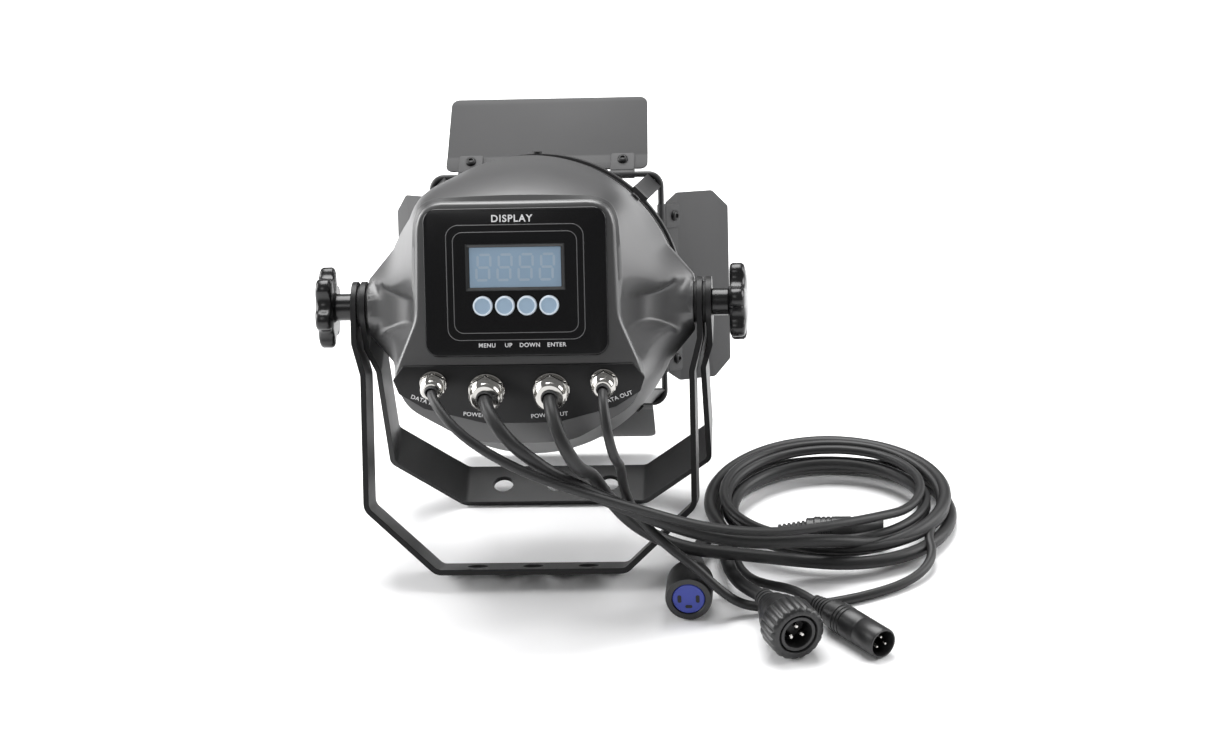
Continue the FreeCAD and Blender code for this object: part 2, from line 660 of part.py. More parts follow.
data_in_run = [
    (-45, -131, 152), (-35, -138, 143), (-20, -142, 132), (-1, -141, 119), (22, -137, 106),
    (47, -130, 93), (74, -119, 78), (101, -106, 62), (129, -93, 50), (158, -79, 42),
    (188, -62, 38), (214, -40, 32), (232, -16, 24),
]
power_in_run = [
    (-14, -131, 147), (-8, -136, 136), (3, -133, 123), (18, -127, 109), (37, -120, 94),
    (60, -113, 78), (86, -104, 61), (112, -94, 47), (138, -83, 37), (164, -70, 31),
    (189, -57, 24), (208, -46, 16),
]
power_out_run = [
    (24, -130, 146), (29, -132, 132), (35, -124, 116), (42, -110, 99), (49, -99, 79),
    (62, -95, 59), (80, -91, 44), (99, -87, 35), (119, -81, 29), (141, -71, 21), (163, -62, 13),
]
data_out_run = [
    (54, -129, 151), (58, -131, 139), (61, -125, 123), (60, -114, 106), (60, -105, 88),
    (64, -101, 72), (74, -103, 58), (88, -108, 46), (103, -113, 36), (116, -113, 21),
    (129, -109, 8), (147, -105, 3.2), (168, -103, 3.2), (190, -97, 3.2), (210, -88, 3.2),
    (228, -77, 3.5), (242, -62, 5), (248, -44, 8), (244, -26, 12),
]
data_in_tail = [
    (174.5, -109.5, 9.5), (167, -100, 10), (157, -90, 9), (145, -80, 6), (134, -68, 3.5),
    (127, -54, 3.2), (123, -38, 3.2), (121, -22, 5),
]
power_in_tail = [
    (143, -117, 18), (134, -106, 17), (127, -93, 16), (122, -78, 15), (119, -61, 14.5),
    (117, -44, 14), (118, -27, 14),
]
power_out_tail = [(98, -66, 14.5), (97, -52, 14), (98, -38, 13), (105, -25, 12), (117, -15, 12)]
data_out_tail = [
    (150, -16, 9.5), (141, -16, 9.7), (133, -13, 10.2), (127, -6, 11), (123, 3, 12),
    (121.5, 12, 12.5),
]


def cords():
    """Four leads, the hank they run into, and a tail from it to each connector."""
    leads = [("data_in_lead", data_in_run, d.data_cord), ("power_in_lead", power_in_run, d.power_cord),
             ("power_out_lead", power_out_run, d.power_cord), ("data_out_lead", data_out_run, d.data_cord)]
    for index, (label, run, diameter) in enumerate(leads):
        cord_tube(label, list(gland_mouth(index)) + run, diameter)
    tails = [("data_in_tail", data_in_tail, d.data_cord), ("power_in_tail", power_in_tail, d.power_cord),
             ("power_out_tail", power_out_tail, d.power_cord), ("data_out_tail", data_out_tail, d.data_cord)]
    for label, run, diameter in tails:
        cord_tube(label, run, diameter)
    inner, outer = d.coil_radius - d.coil_band, d.coil_radius
    ring = cylinder(outer, d.coil_height, Vector(), ALONG_Z)
    ring = ring.cut(cylinder(inner, d.coil_height, Vector(), ALONG_Z))
    ring = ring.makeChamfer(d.coil_height / 3.5, [e for e in ring.Edges if isinstance(e.Curve, Part.Circle)])
    feature("cable_coil", ring, Placement(Vector(d.coil_x, d.coil_y, 0), Rotation()))


# ---- connectors on the cords ----

def along(start, end):
    """A placement whose Z axis runs from start to end."""
    way = Vector(*end) - Vector(*start)
    return Placement(Vector(*start), Rotation(ALONG_Z, way))


def stacked(steps):
    """Cones and cylinders end to end up Z: each step is (length, radius, end radius)."""
    pieces = []
    height = 0
    for length, low, high in steps:
        base = ALONG_Z * height
        if low == high:
            pieces.append(cylinder(low, length, base, ALONG_Z))
        else:
            pieces.append(Part.makeCone(low, high, length, base, ALONG_Z))
        height += length
    return fused(pieces), height


def power_plug():
    """Big three-pin plug: sleeve, body and a free-turning coupling nut."""
    place = along(power_in_tail[0], (166, -166, 18))
    core = d.plug_radius - 5
    body, height = stacked([(14, 5.5, 7), (10, 10, 10), (9, 13.5, 13.5), (20, core - 1.5, core - 1.5)])
    cup = cylinder(core - 4, 14, ALONG_Z * (height - 14), ALONG_Z)
    feature("power_in_plug", body.cut(cup), place)
    nut_start = height - 19
    nut = cylinder(d.plug_radius - 0.5, d.plug_ring, ALONG_Z * nut_start, ALONG_Z)
    nut = nut.cut(cylinder(core - 1.5 + d.hole_clearance, d.plug_ring, ALONG_Z * nut_start, ALONG_Z))
    for k in range(16):
        angle = 2 * math.pi * k / 16
        base = Vector(math.cos(angle), math.sin(angle), 0) * d.plug_radius + ALONG_Z * nut_start
        nut = nut.cut(cylinder(1.2, d.plug_ring - 4, base, ALONG_Z))
    feature("power_coupling_nut", nut, place)
    return pins(place, height - 14, 4.2, 1.5, 12)


def pins(place, start, circle, radius, length):
    """Three round pins on a circle."""
    made = []
    for k in range(3):
        angle = math.radians(90 + 120 * k)
        base = Vector(math.cos(angle) * circle, math.sin(angle) * circle, start)
        pin = cylinder(radius, length, base, ALONG_Z)
        pin.Placement = place.multiply(pin.Placement)
        made.append(pin)
    return made


def data_plug(label, start, end, male):
    place = along(start, end)
    radius = d.data_plug_radius
    steps = [(18, 4.5, 7), (5, radius - 0.8, radius - 0.8), (d.data_plug_length, radius, radius)]
    body, height = stacked(steps)
    depth = 16 if male else 2
    cup = cylinder(radius - 1.6, depth, ALONG_Z * (height - depth), ALONG_Z)
    feature(label, body.cut(cup), place)
    return pins(place, height - depth, 3.6, 1.1, depth - 2) if male else []


def power_socket():
    place = along(power_out_tail[0], (97.5, -119, 14.5))
    radius = d.socket_radius
    body, height = stacked([(8, 7, 8), (14, 8, 12), (d.socket_length, radius, radius)])
    cup = cylinder(radius - 3, 3, ALONG_Z * (height - 3), ALONG_Z)
    feature("power_out_socket", body.cut(cup), place)


def connectors():
    all_pins = power_plug()
    all_pins += data_plug("data_in_plug", data_in_tail[0], (215, -161, 9.5), True)
    data_plug("data_out_socket", data_out_tail[0], (214, -16, 9.5), False)
    power_socket()
    feature("plug_pins", group(all_pins), Placement())


def main():
    stand()
    washers()
    shells()
    inside()
    display()
    connector_panel()
    screws()
    knobs()
    barn_frame()
    leaves()
    cords()
    connectors()
    doc.recompute()
    for item in doc.Objects:
        if {"Invalid", "Error"} & set(item.State):
            raise SystemExit(f"{item.Label} did not build: {item.State}")
    os.makedirs("parts", exist_ok=True)
    for item in nodes:
        shape = item.Shape
        if shape.isNull() or not shape.isValid() or shape.Volume <= 0:
            raise SystemExit(f"{item.Label} has no valid solid")
        shape.exportStep(f"parts/{item.Label}.step")
    print(len(nodes), "sub-parts written")


main()
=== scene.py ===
import json
import math

import bmesh
import bpy
from mathutils import Matrix, Vector


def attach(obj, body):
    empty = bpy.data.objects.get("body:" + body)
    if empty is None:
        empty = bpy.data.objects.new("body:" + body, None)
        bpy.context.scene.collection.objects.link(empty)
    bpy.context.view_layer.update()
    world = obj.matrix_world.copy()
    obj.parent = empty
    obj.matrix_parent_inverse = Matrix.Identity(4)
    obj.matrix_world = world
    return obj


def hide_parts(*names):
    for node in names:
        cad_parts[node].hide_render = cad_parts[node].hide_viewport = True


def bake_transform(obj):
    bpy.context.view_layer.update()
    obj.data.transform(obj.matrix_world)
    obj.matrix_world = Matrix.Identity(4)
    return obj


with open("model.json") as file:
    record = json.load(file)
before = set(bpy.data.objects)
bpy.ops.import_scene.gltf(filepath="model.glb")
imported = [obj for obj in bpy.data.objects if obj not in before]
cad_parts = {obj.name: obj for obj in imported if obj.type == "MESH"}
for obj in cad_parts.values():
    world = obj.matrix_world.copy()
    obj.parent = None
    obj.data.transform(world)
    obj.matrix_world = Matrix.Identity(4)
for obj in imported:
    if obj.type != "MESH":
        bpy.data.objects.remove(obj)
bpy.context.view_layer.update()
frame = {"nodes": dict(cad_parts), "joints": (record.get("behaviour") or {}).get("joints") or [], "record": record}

mm = 0.001
nodes = frame["nodes"]


def moved(x, y, z):
    return Matrix.Translation((x * mm, y * mm, z * mm))


def turned(degrees, axis):
    return Matrix.Rotation(math.radians(degrees), 4, axis)


headDrop = 19  # degrees that the head points below level
pivot = next(Vector(j["pos_m"]) for j in frame["joints"] if j["name"] == "head_tilt")
headPlace = Matrix.Translation(pivot) @ turned(-headDrop, "X")
print("frame loaded,", len(nodes), "nodes")


# the camera looks at a point beside the tilt axis, from behind and above
view = {"yaw": 5.0, "rise": 24.8, "roll": 2.9, "distance": 2.2, "right": 0.0423, "up": -0.0463,
        "lens": 105.0, "sensor": 36, "farthest": 20}


def makeCamera():
    yaw, rise, roll = (math.radians(view[k]) for k in ("yaw", "rise", "roll"))
    back = Vector((math.sin(yaw) * math.cos(rise), -math.cos(yaw) * math.cos(rise), math.sin(rise)))
    right = Vector((math.cos(yaw), math.sin(yaw), 0))
    up = back.cross(right)
    turnedRight = right * math.cos(roll) - up * math.sin(roll)
    turnedUp = right * math.sin(roll) + up * math.cos(roll)
    data = bpy.data.cameras.new("camera")
    data.lens = view["lens"]
    data.sensor_width = view["sensor"]
    data.clip_end = view["farthest"]
    camera = link("camera", data)
    spot = pivot + right * view["right"] + up * view["up"] + back * view["distance"]
    axes = Matrix((turnedRight, turnedUp, back)).transposed().to_4x4()
    camera.matrix_world = Matrix.Translation(spot) @ axes
    bpy.context.scene.camera = camera


def link(name, data):
    item = bpy.data.objects.new(name, data)
    bpy.context.collection.objects.link(item)
    return item


def toMesh(bm, name):
    mesh = bpy.data.meshes.new(name)
    bm.to_mesh(mesh)
    bm.free()
    return mesh


def newMaterial(name, colour, roughness, metallic=0.0, coat=0.0, coatRough=0.1, specular=0.5):
    material = bpy.data.materials.new(name)
    material.use_nodes = True
    shader = material.node_tree.nodes["Principled BSDF"]
    shader.inputs["Base Color"].default_value = (*colour, 1)
    shader.inputs["Roughness"].default_value = roughness
    shader.inputs["Metallic"].default_value = metallic
    shader.inputs["Coat Weight"].default_value = coat
    shader.inputs["Coat Roughness"].default_value = coatRough
    shader.inputs["Specular IOR Level"].default_value = specular
    return material


studio = {"floorHalf": 6, "floorDrop": 0.0005, "lightLevel": 0.27, "shownLevel": 1.0}
# each lamp's place in metres, its width and its power in watts
lamps = [("topSoft", (-0.1, 0.7, 1.9), 1.5, 62), ("leftSoft", (-1.8, 0.25, 0.8), 1.4, 50),
         ("rightSoft", (1.8, 0.4, 0.9), 1.3, 32), ("frontSoft", (-0.7, -2.2, 2.0), 0.9, 7)]


def makeStage():
    bm = bmesh.new()
    bmesh.ops.create_grid(bm, x_segments=1, y_segments=1, size=studio["floorHalf"])
    floor = link("floor", toMesh(bm, "floor"))
    floor.location.z = -studio["floorDrop"]
    floor.data.materials.append(newMaterial("floorPaper", (0.94, 0.94, 0.945), 0.8, specular=0.2))
    world = bpy.data.worlds.new("studio")
    bpy.context.scene.world = world
    world.use_nodes = True
    tree = world.node_tree
    room = tree.nodes["Background"]
    room.inputs[0].default_value = (1, 1, 1, 1)
    # a white backdrop that lights the set less than it shows
    seen = tree.nodes.new("ShaderNodeLightPath").outputs["Is Camera Ray"]
    level = tree.nodes.new("ShaderNodeMapRange")
    level.inputs["To Min"].default_value = studio["lightLevel"]
    level.inputs["To Max"].default_value = studio["shownLevel"]
    tree.links.new(seen, level.inputs["Value"])
    tree.links.new(level.outputs[0], room.inputs[1])
    for name, spot, size, power in lamps:
        data = bpy.data.lights.new(name, "AREA")
        data.size = size
        data.energy = power
        lamp = link(name, data)
        lamp.location = spot
        lamp.rotation_euler = (pivot - Vector(spot)).to_track_quat("-Z", "Y").to_euler()
    bpy.context.scene.view_settings.view_transform = "Standard"


makeCamera()
makeStage()
print("camera and studio ready")


def groupOf(name, inputs, outputs):
    group = bpy.data.node_groups.new(name, "ShaderNodeTree")
    for label, kind, value in inputs:
        socket = group.interface.new_socket(name=label, in_out="INPUT", socket_type=kind)
        socket.default_value = value
    for label, kind in outputs:
        group.interface.new_socket(name=label, in_out="OUTPUT", socket_type=kind)
    return group, group.nodes.new("NodeGroupInput"), group.nodes.new("NodeGroupOutput")


def mathNode(tree, operation, first, second, clamp=False):
    node = tree.nodes.new("ShaderNodeMath")
    node.operation = operation
    node.use_clamp = clamp
    for value, socket in zip((first, second), node.inputs):
        if isinstance(value, (int, float)):
            socket.default_value = value
        else:
            tree.links.new(value, socket)
    return node.outputs[0]


def noise(tree, coords, scale, detail):
    node = tree.nodes.new("ShaderNodeTexNoise")
    node.inputs["Scale"].default_value = scale
    node.inputs["Detail"].default_value = detail
    node.inputs["Roughness"].default_value = 0.55
    tree.links.new(coords, node.inputs["Vector"])
    return node.outputs[0]


def makeGrain():
    # fine powder-coat grain with a slow cloudy change of shade and gloss
    group, source, sink = groupOf("finishGrain", [
        ("Colour", "NodeSocketColor", (0.1, 0.1, 0.1, 1)), ("Roughness", "NodeSocketFloat", 0.5),
        ("Grain Size", "NodeSocketFloat", 900.0), ("Grain Depth", "NodeSocketFloat", 0.1),
        ("Shade Change", "NodeSocketFloat", 0.15), ("Gloss Change", "NodeSocketFloat", 0.08),
    ], [("Colour", "NodeSocketColor"), ("Roughness", "NodeSocketFloat"), ("Normal", "NodeSocketVector")])
    coords = group.nodes.new("ShaderNodeTexCoord").outputs["Object"]
    fine = group.nodes.new("ShaderNodeTexNoise")
    fine.inputs["Detail"].default_value = 2
    group.links.new(coords, fine.inputs["Vector"])
    group.links.new(source.outputs["Grain Size"], fine.inputs["Scale"])
    cloud = noise(group, coords, 14, 4)
    streak = noise(group, coords, 75, 2)
    both = mathNode(group, "ADD", mathNode(group, "MULTIPLY", cloud, 0.7), mathNode(group, "MULTIPLY", streak, 0.3))
    centred = mathNode(group, "SUBTRACT", both, 0.5)
    shade = mathNode(group, "ADD", mathNode(group, "MULTIPLY", centred, source.outputs["Shade Change"]), 1.0)
    tint = group.nodes.new("ShaderNodeVectorMath")
    tint.operation = "SCALE"
    group.links.new(source.outputs["Colour"], tint.inputs[0])
    group.links.new(shade, tint.inputs["Scale"])
    group.links.new(tint.outputs[0], sink.inputs["Colour"])
    gloss = mathNode(group, "MULTIPLY", centred, source.outputs["Gloss Change"])
    group.links.new(mathNode(group, "ADD", gloss, source.outputs["Roughness"], True), sink.inputs["Roughness"])
    bump = group.nodes.new("ShaderNodeBump")
    bump.inputs["Distance"].default_value = 0.0002
    group.links.new(source.outputs["Grain Depth"], bump.inputs["Strength"])
    group.links.new(fine.outputs[0], bump.inputs["Height"])
    group.links.new(bump.outputs[0], sink.inputs["Normal"])
    return group


grainGroup = makeGrain()


def finish(name, colour, roughness, grain, depth, shade, gloss, **shader):
    # grain's size and depth, then how much the shade and the gloss change over the surface
    material = newMaterial(name, colour, roughness, **shader)
    tree = material.node_tree
    node = tree.nodes.new("ShaderNodeGroup")
    node.node_tree = grainGroup
    values = {"Colour": (*colour, 1), "Roughness": roughness, "Grain Size": grain,
              "Grain Depth": depth, "Shade Change": shade, "Gloss Change": gloss}
    for label, value in values.items():
        node.inputs[label].default_value = value
    base = tree.nodes["Principled BSDF"]
    tree.links.new(node.outputs["Colour"], base.inputs["Base Color"])
    tree.links.new(node.outputs["Roughness"], base.inputs["Roughness"])
    tree.links.new(node.outputs["Normal"], base.inputs["Normal"])
    return material


housingPaint = finish("housingPaint", (0.032, 0.032, 0.033), 0.4, 1500, 0.05, 0.25, 0.10, specular=1.0)
strapPaint = finish("strapPaint", (0.008, 0.008, 0.0085), 0.45, 1300, 0.12, 0.3, 0.12, specular=0.35)
barrelPaint = finish("barrelPaint", (0.014, 0.014, 0.0145), 0.4, 1300, 0.08, 0.3, 0.12)
doorPaint = finish("doorPaint", (0.027, 0.027, 0.028), 0.6, 1600, 0.16, 0.22, 0.12)
wirePaint = finish("wirePaint", (0.02, 0.02, 0.0205), 0.45, 1400, 0.1, 0.25, 0.1)
panelGloss = finish("panelGloss", (0.003, 0.003, 0.0035), 0.22, 300, 0.01, 0.3, 0.06, specular=0.3)
facetPlastic = finish("facetPlastic", (0.004, 0.004, 0.0045), 0.4, 1200, 0.06, 0.3, 0.1, specular=0.25)
ridgeGrey = finish("ridgeGrey", (0.11, 0.11, 0.112), 0.25, 600, 0.02, 0.2, 0.05, coat=0.4)
bezelGrey = finish("bezelGrey", (0.02, 0.021, 0.022), 0.3, 700, 0.02, 0.2, 0.05)
printWhite = finish("printWhite", (0.72, 0.72, 0.73), 0.45, 2500, 0.05, 0.12, 0.08)
screenBlue = finish("screenBlue", (0.24, 0.34, 0.45), 0.38, 700, 0.03, 0.16, 0.06, coat=0.35, coatRough=0.12)
segmentTint = finish("segmentTint", (0.31, 0.39, 0.47), 0.4, 700, 0.03, 0.12, 0.06)
buttonBlue = finish("buttonBlue", (0.33, 0.45, 0.58), 0.3, 900, 0.03, 0.12, 0.08, coat=0.4, coatRough=0.15)
buttonRim = finish("buttonRim", (0.66, 0.74, 0.82), 0.28, 900, 0.03, 0.1, 0.08, coat=0.3)
nickel = finish("nickel", (0.46, 0.45, 0.43), 0.11, 500, 0.03, 0.2, 0.12, metallic=1.0)
knobPlastic = finish("knobPlastic", (0.007, 0.007, 0.0075), 0.24, 900, 0.05, 0.3, 0.12, specular=0.45)
studSteel = finish("studSteel", (0.5, 0.5, 0.5), 0.3, 900, 0.05, 0.2, 0.15, metallic=1.0)
rubberBlack = finish("rubberBlack", (0.013, 0.013, 0.0135), 0.6, 1500, 0.15, 0.3, 0.1)
cordRubber = finish("cordRubber", (0.012, 0.012, 0.0125), 0.46, 1400, 0.12, 0.3, 0.12, specular=0.4)
connectorBlack = finish("connectorBlack", (0.012, 0.012, 0.0125), 0.38, 1200, 0.1, 0.3, 0.1)
socketBlue = finish("socketBlue", (0.03, 0.05, 0.34), 0.42, 900, 0.06, 0.15, 0.08)
# a flat near-black that paints the shade inside holes and slots
paintedHoleShade = finish("paintedHoleShade", (0.004, 0.004, 0.004), 0.6, 900, 0.05, 0.1, 0.05)
lensClear = finish("lensClear", (0.42, 0.45, 0.47), 0.12, 400, 0.02, 0.3, 0.05, coat=0.6, coatRough=0.03)
boardGreen = finish("boardGreen", (0.02, 0.12, 0.05), 0.4, 700, 0.06, 0.3, 0.1)
chipYellow = finish("chipYellow", (0.75, 0.62, 0.2), 0.4, 700, 0.05, 0.1, 0.05)
bareAlloy = finish("bareAlloy", (0.55, 0.55, 0.56), 0.4, 600, 0.12, 0.2, 0.15, metallic=1.0)


def makeGlass():
    material = newMaterial("clearGlass", (0.95, 0.98, 0.97), 0.05)
    tree = material.node_tree
    shader = tree.nodes["Principled BSDF"]
    shader.inputs["Transmission Weight"].default_value = 1.0
    shader.inputs["IOR"].default_value = 1.45
    smear = noise(tree, tree.nodes.new("ShaderNodeTexCoord").outputs["Object"], 30, 3)
    tree.links.new(mathNode(tree, "MULTIPLY", smear, 0.12), shader.inputs["Roughness"])
    return material


clearGlass = makeGlass()
print("materials ready")


cordKinds = {
    # lengths in metres, the rest in millimetres; radii and heights run round the coil from lead to tail
    "dataInCord": {
        "diameter": 6, "length": 1.19, "replaces": ["data_in_lead", "data_in_tail", "cable_coil"],
        "lead": [(-51.5, -108.8, 156.7), (-51.5, -113.8, 156.8), (-49, -122.2, 154.9), (-44.4, -128.9, 151),
                 (-35, -138, 143), (-20, -142, 132), (-1, -141, 119), (22, -137, 106), (47, -130, 93),
                 (74, -119, 78), (101, -106, 62), (129, -93, 50), (158, -79, 42), (188, -62, 38),
                 (214, -40, 32), (232, -16, 24)],
        "tail": [(121, -22, 5), (123, -38, 3.2), (127, -54, 3.2), (134, -68, 3.5), (145, -80, 6),
                 (157, -90, 9), (167, -100, 10), (174.5, -109.5, 9.5)],
        "turns": 1, "radii": [58.8, 63, 66, 71, 77, 74, 71.3], "heights": [24, 22, 20, 17, 11, 6, 5]},
    "powerInCord": {
        "diameter": 8.5, "length": 1.17, "replaces": ["power_in_lead", "power_in_tail"],
        "lead": [(-19.5, -109, 151.7), (-19.5, -114, 151.8), (-17.5, -122.5, 149.7), (-13.7, -129.6, 145.6),
                 (-8.6, -134.3, 139.9), (-2.8, -136.1, 133.2), (3, -134.9, 126.5), (8.5, -132, 120),
                 (18, -127, 109), (37, -120, 94), (60, -113, 78), (86, -104, 61), (112, -94, 47),
                 (138, -83, 37), (164, -70, 31), (189, -57, 24), (208, -46, 16)],
        "tail": [(118, -27, 14), (117, -44, 14), (119, -61, 14.5), (122, -78, 15), (127, -93, 16),
                 (134, -106, 17), (143, -117, 18)],
        "turns": 1, "radii": [66.3, 60, 62, 66, 76, 80, 76.5], "heights": [16, 13, 12, 13, 17, 20, 14]},
    "powerOutCord": {
        "diameter": 8.5, "length": 0.7, "replaces": ["power_out_lead", "power_out_tail"],
        "lead": [(19.5, -109, 151.7), (19.5, -114, 151.8), (20.7, -122.5, 149.2), (23, -129.6, 144.1),
                 (26, -134.3, 137.1), (29.5, -136.2, 129), (33, -135, 120.8), (36, -130.8, 113.5),
                 (38.4, -124.2, 107.9), (42, -110, 99), (49, -99, 79), (62, -95, 59), (80, -91, 44),
                 (99, -87, 35), (119, -81, 29), (141, -71, 21), (163, -62, 13)],
        "tail": [(112, -12, 12), (107, -26, 12), (102, -39, 13), (98.5, -52, 14), (98, -66, 14.5)],
        "turns": 0, "radii": [79.3, 80, 79, 77, 76, 75], "heights": [13, 7, 4.5, 5, 8, 12]},
    "dataOutCord": {
        "diameter": 6, "length": 1.1, "replaces": ["data_out_lead", "data_out_tail"],
        "lead": [(51.5, -108.8, 156.7), (51.5, -113.8, 156.8), (52, -122.3, 153.8), (53.1, -129, 147.9),
                 (54.4, -133.1, 140), (55.9, -133.9, 131.2), (57.3, -131.5, 122.6), (58.4, -126, 115.6),
                 (60, -114, 106), (60, -105, 88), (64, -101, 72), (74, -103, 58), (88, -108, 46),
                 (103, -113, 36), (116, -113, 21), (129, -109, 8), (147, -105, 3.2), (168, -103, 3.2),
                 (190, -97, 3.2), (210, -88, 3.2), (228, -77, 3.5), (242, -62, 5), (248, -44, 8),
                 (244, -26, 12)],
        "tail": [(116.5, 14, 12.5), (117.5, 3, 12), (121.5, -7, 11), (129, -13.5, 10.2), (139, -16, 9.7),
                 (150, -16, 9.5)],
        "turns": 1, "radii": [74.3, 71, 69, 67, 64, 61, 60.6], "heights": [12, 22, 23, 22, 18, 8, 12.5]},
}
coil = {"x": 182, "y": 15, "stepsPerTurn": 15}


def between(values, share):
    # a value part of the way along an evenly spaced list
    place = share * (len(values) - 1)
    low = min(int(place), len(values) - 2)
    return values[low] + (values[low + 1] - values[low]) * (place - low)


def coilTurns(kind):
    first, last = kind["lead"][-1], kind["tail"][0]
    start = math.atan2(first[1] - coil["y"], first[0] - coil["x"])
    end = math.atan2(last[1] - coil["y"], last[0] - coil["x"])
    sweep = (end - start) % (2 * math.pi) + 2 * math.pi * kind["turns"]
    count = round(sweep / (2 * math.pi) * coil["stepsPerTurn"])
    spots = []
    for k in range(1, count):
        share = k / count
        angle = start + sweep * share
        radius = between(kind["radii"], share)
        spots.append((coil["x"] + radius * math.cos(angle), coil["y"] + radius * math.sin(angle),
                      between(kind["heights"], share)))
    return spots


def makeCord(name, kind):
    data = bpy.data.curves.new(name + "Line", "CURVE")
    data.dimensions = "3D"
    spline = data.splines.new("NURBS")
    route = kind["lead"] + coilTurns(kind) + kind["tail"]
    spline.points.add(len(route) - 1)
    for point, spot in zip(spline.points, route):
        point.co = (*(c * mm for c in spot), 1)
    spline.order_u = 3
    spline.use_endpoint_u = True
    data.resolution_u = 8
    line = link(name + "Line", data)
    bpy.context.view_layer.update()
    bare = bpy.data.meshes.new_from_object(line)
    path = [v.co.copy() for v in bare.vertices]
    data.bevel_depth = kind["diameter"] / 2 * mm
    data.bevel_resolution = 4
    data.use_fill_caps = True
    bpy.context.view_layer.update()
    tube = bpy.data.meshes.new_from_object(line.evaluated_get(bpy.context.evaluated_depsgraph_get()))
    tube.name = name
    bpy.data.objects.remove(line)
    piece = link(name, tube)
    tube.materials.clear()
    tube.materials.append(cordRubber)
    tube.shade_smooth()
    length = sum((b - a).length for a, b in zip(path, path[1:]))
    print(name, "length", round(length, 3))
    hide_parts(*kind["replaces"])
    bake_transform(piece)
    kind["path"] = [tuple(p) for p in path]
    kind["piece"] = piece


for cordName, cordKind in cordKinds.items():
    makeCord(cordName, cordKind)
print("cords laid")


sharpTurn = math.radians(38)  # edges that turn further than this stay sharp


def meshOf(bm, name, material, smooth=True):
    bmesh.ops.recalc_face_normals(bm, faces=bm.faces)
    mesh = toMesh(bm, name)
    piece = link(name, mesh)
    mesh.materials.append(material)
    if smooth:
        mesh.shade_smooth()
        mesh.set_sharp_from_angle(angle=sharpTurn)
    return piece


def place(bm, matrix):
    bmesh.ops.transform(bm, matrix=matrix, verts=bm.verts)


def shift(bm, x=0, y=0, z=0, verts=None):
    bmesh.ops.translate(bm, vec=(x * mm, y * mm, z * mm), verts=verts or bm.verts)


def only(geom, kind):
    return [g for g in geom if isinstance(g, kind)]


def allOf(bm):
    return list(bm.verts) + list(bm.edges) + list(bm.faces)


def addInto(bm, part):
    # copies one bmesh into another and frees it
    scratch = toMesh(part, "scratch")
    bm.from_mesh(scratch)
    bpy.data.meshes.remove(scratch)


def roundOff(bm, geom, width, segments, affect="EDGES"):
    bmesh.ops.bevel(bm, geom=geom, offset=width * mm, offset_type="OFFSET", segments=segments, profile=0.5,
                    affect=affect, clamp_overlap=True, material=-1)


def bevelEdges(bm, width, segments, angle=30):
    edges = [e for e in bm.edges if len(e.link_faces) == 2 and e.calc_face_angle(0) > math.radians(angle)]
    roundOff(bm, edges, width, segments)


def placedParts(spot, parts):
    # an object for each (bmesh, material) pair
    pieces = []
    for bm, material in parts:
        place(bm, spot)
        pieces.append(meshOf(bm, "part", material))
    return pieces


def spun(profile, steps=48):
    # profile holds (radius, height) pairs in millimetres, turned about Z
    bm = bmesh.new()
    verts = [bm.verts.new((r * mm, 0, z * mm)) for r, z in profile]
    edges = [bm.edges.new(pair) for pair in zip(verts, verts[1:])]
    bmesh.ops.spin(bm, geom=verts + edges, axis=(0, 0, 1), cent=(0, 0, 0), angle=2 * math.pi,
                   steps=steps, use_merge=True)
    bmesh.ops.remove_doubles(bm, verts=bm.verts, dist=1e-6)
    return bm


def joined(name, pieces):
    # one object from several, each keeping its own material
    bm = bmesh.new()
    materials = []
    for item in pieces:
        for m in item.data.materials:
            if m not in materials:
                materials.append(m)
    for item in pieces:
        part = bmesh.new()
        part.from_mesh(item.data)
        for face in part.faces:
            face.material_index = materials.index(item.data.materials[face.material_index])
        addInto(bm, part)
    mesh = toMesh(bm, name)
    for m in materials:
        mesh.materials.append(m)
    for item in pieces:
        old = item.data
        bpy.data.objects.remove(item)
        bpy.data.meshes.remove(old)
    return link(name, mesh)


def stands(piece, node, body):
    # lettering and ridges stand for no node of their own
    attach(piece, body)
    if node:
        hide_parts(node)
    return piece


bodyOf = {n: b for b, members in frame["record"]["behaviour"]["bodies"].items() for n in members}


def softened(node, material, width, segments=2):
    # the CAD shape with its edges broken, as paint and moulding leave them
    bm = bmesh.new()
    bm.from_mesh(nodes[node].data)
    bmesh.ops.remove_doubles(bm, verts=bm.verts, dist=2e-6)
    bmesh.ops.dissolve_limit(bm, angle_limit=math.radians(1.5), verts=bm.verts, edges=bm.edges)
    mesh = toMesh(bm, node + "Soft")
    piece = link(node + "Soft", mesh)
    mesh.materials.append(material)
    mesh.shade_smooth()
    mesh.set_sharp_from_angle(angle=math.radians(40))
    if width:
        bevel = piece.modifiers.new("edge", "BEVEL")
        bevel.width = width * mm
        bevel.segments = segments
        bevel.limit_method = "ANGLE"
        bevel.angle_limit = math.radians(35)
        bevel.harden_normals = True
    return stands(piece, node, bodyOf[node])


def raiseFaces(bm, height):
    grown = bmesh.ops.extrude_face_region(bm, geom=list(bm.faces))
    shift(bm, z=height, verts=only(grown["geom"], bmesh.types.BMVert))


def roundedSlab(width, height, corner, low, high, segments=8, edge=0.0):
    # lies between two heights, with its upper edge rounded
    bm = bmesh.new()
    bmesh.ops.create_grid(bm, x_segments=1, y_segments=1, size=0.5)
    bmesh.ops.scale(bm, vec=(width * mm, height * mm, 1), verts=bm.verts)
    roundOff(bm, list(bm.verts), corner, segments, "VERTICES")
    shift(bm, z=low)
    raiseFaces(bm, high - low)
    if edge:
        rim = [e for e in bm.edges if all(v.co.z > (high - 0.01) * mm for v in e.verts)]
        roundOff(bm, rim, edge, 3)
    return bm


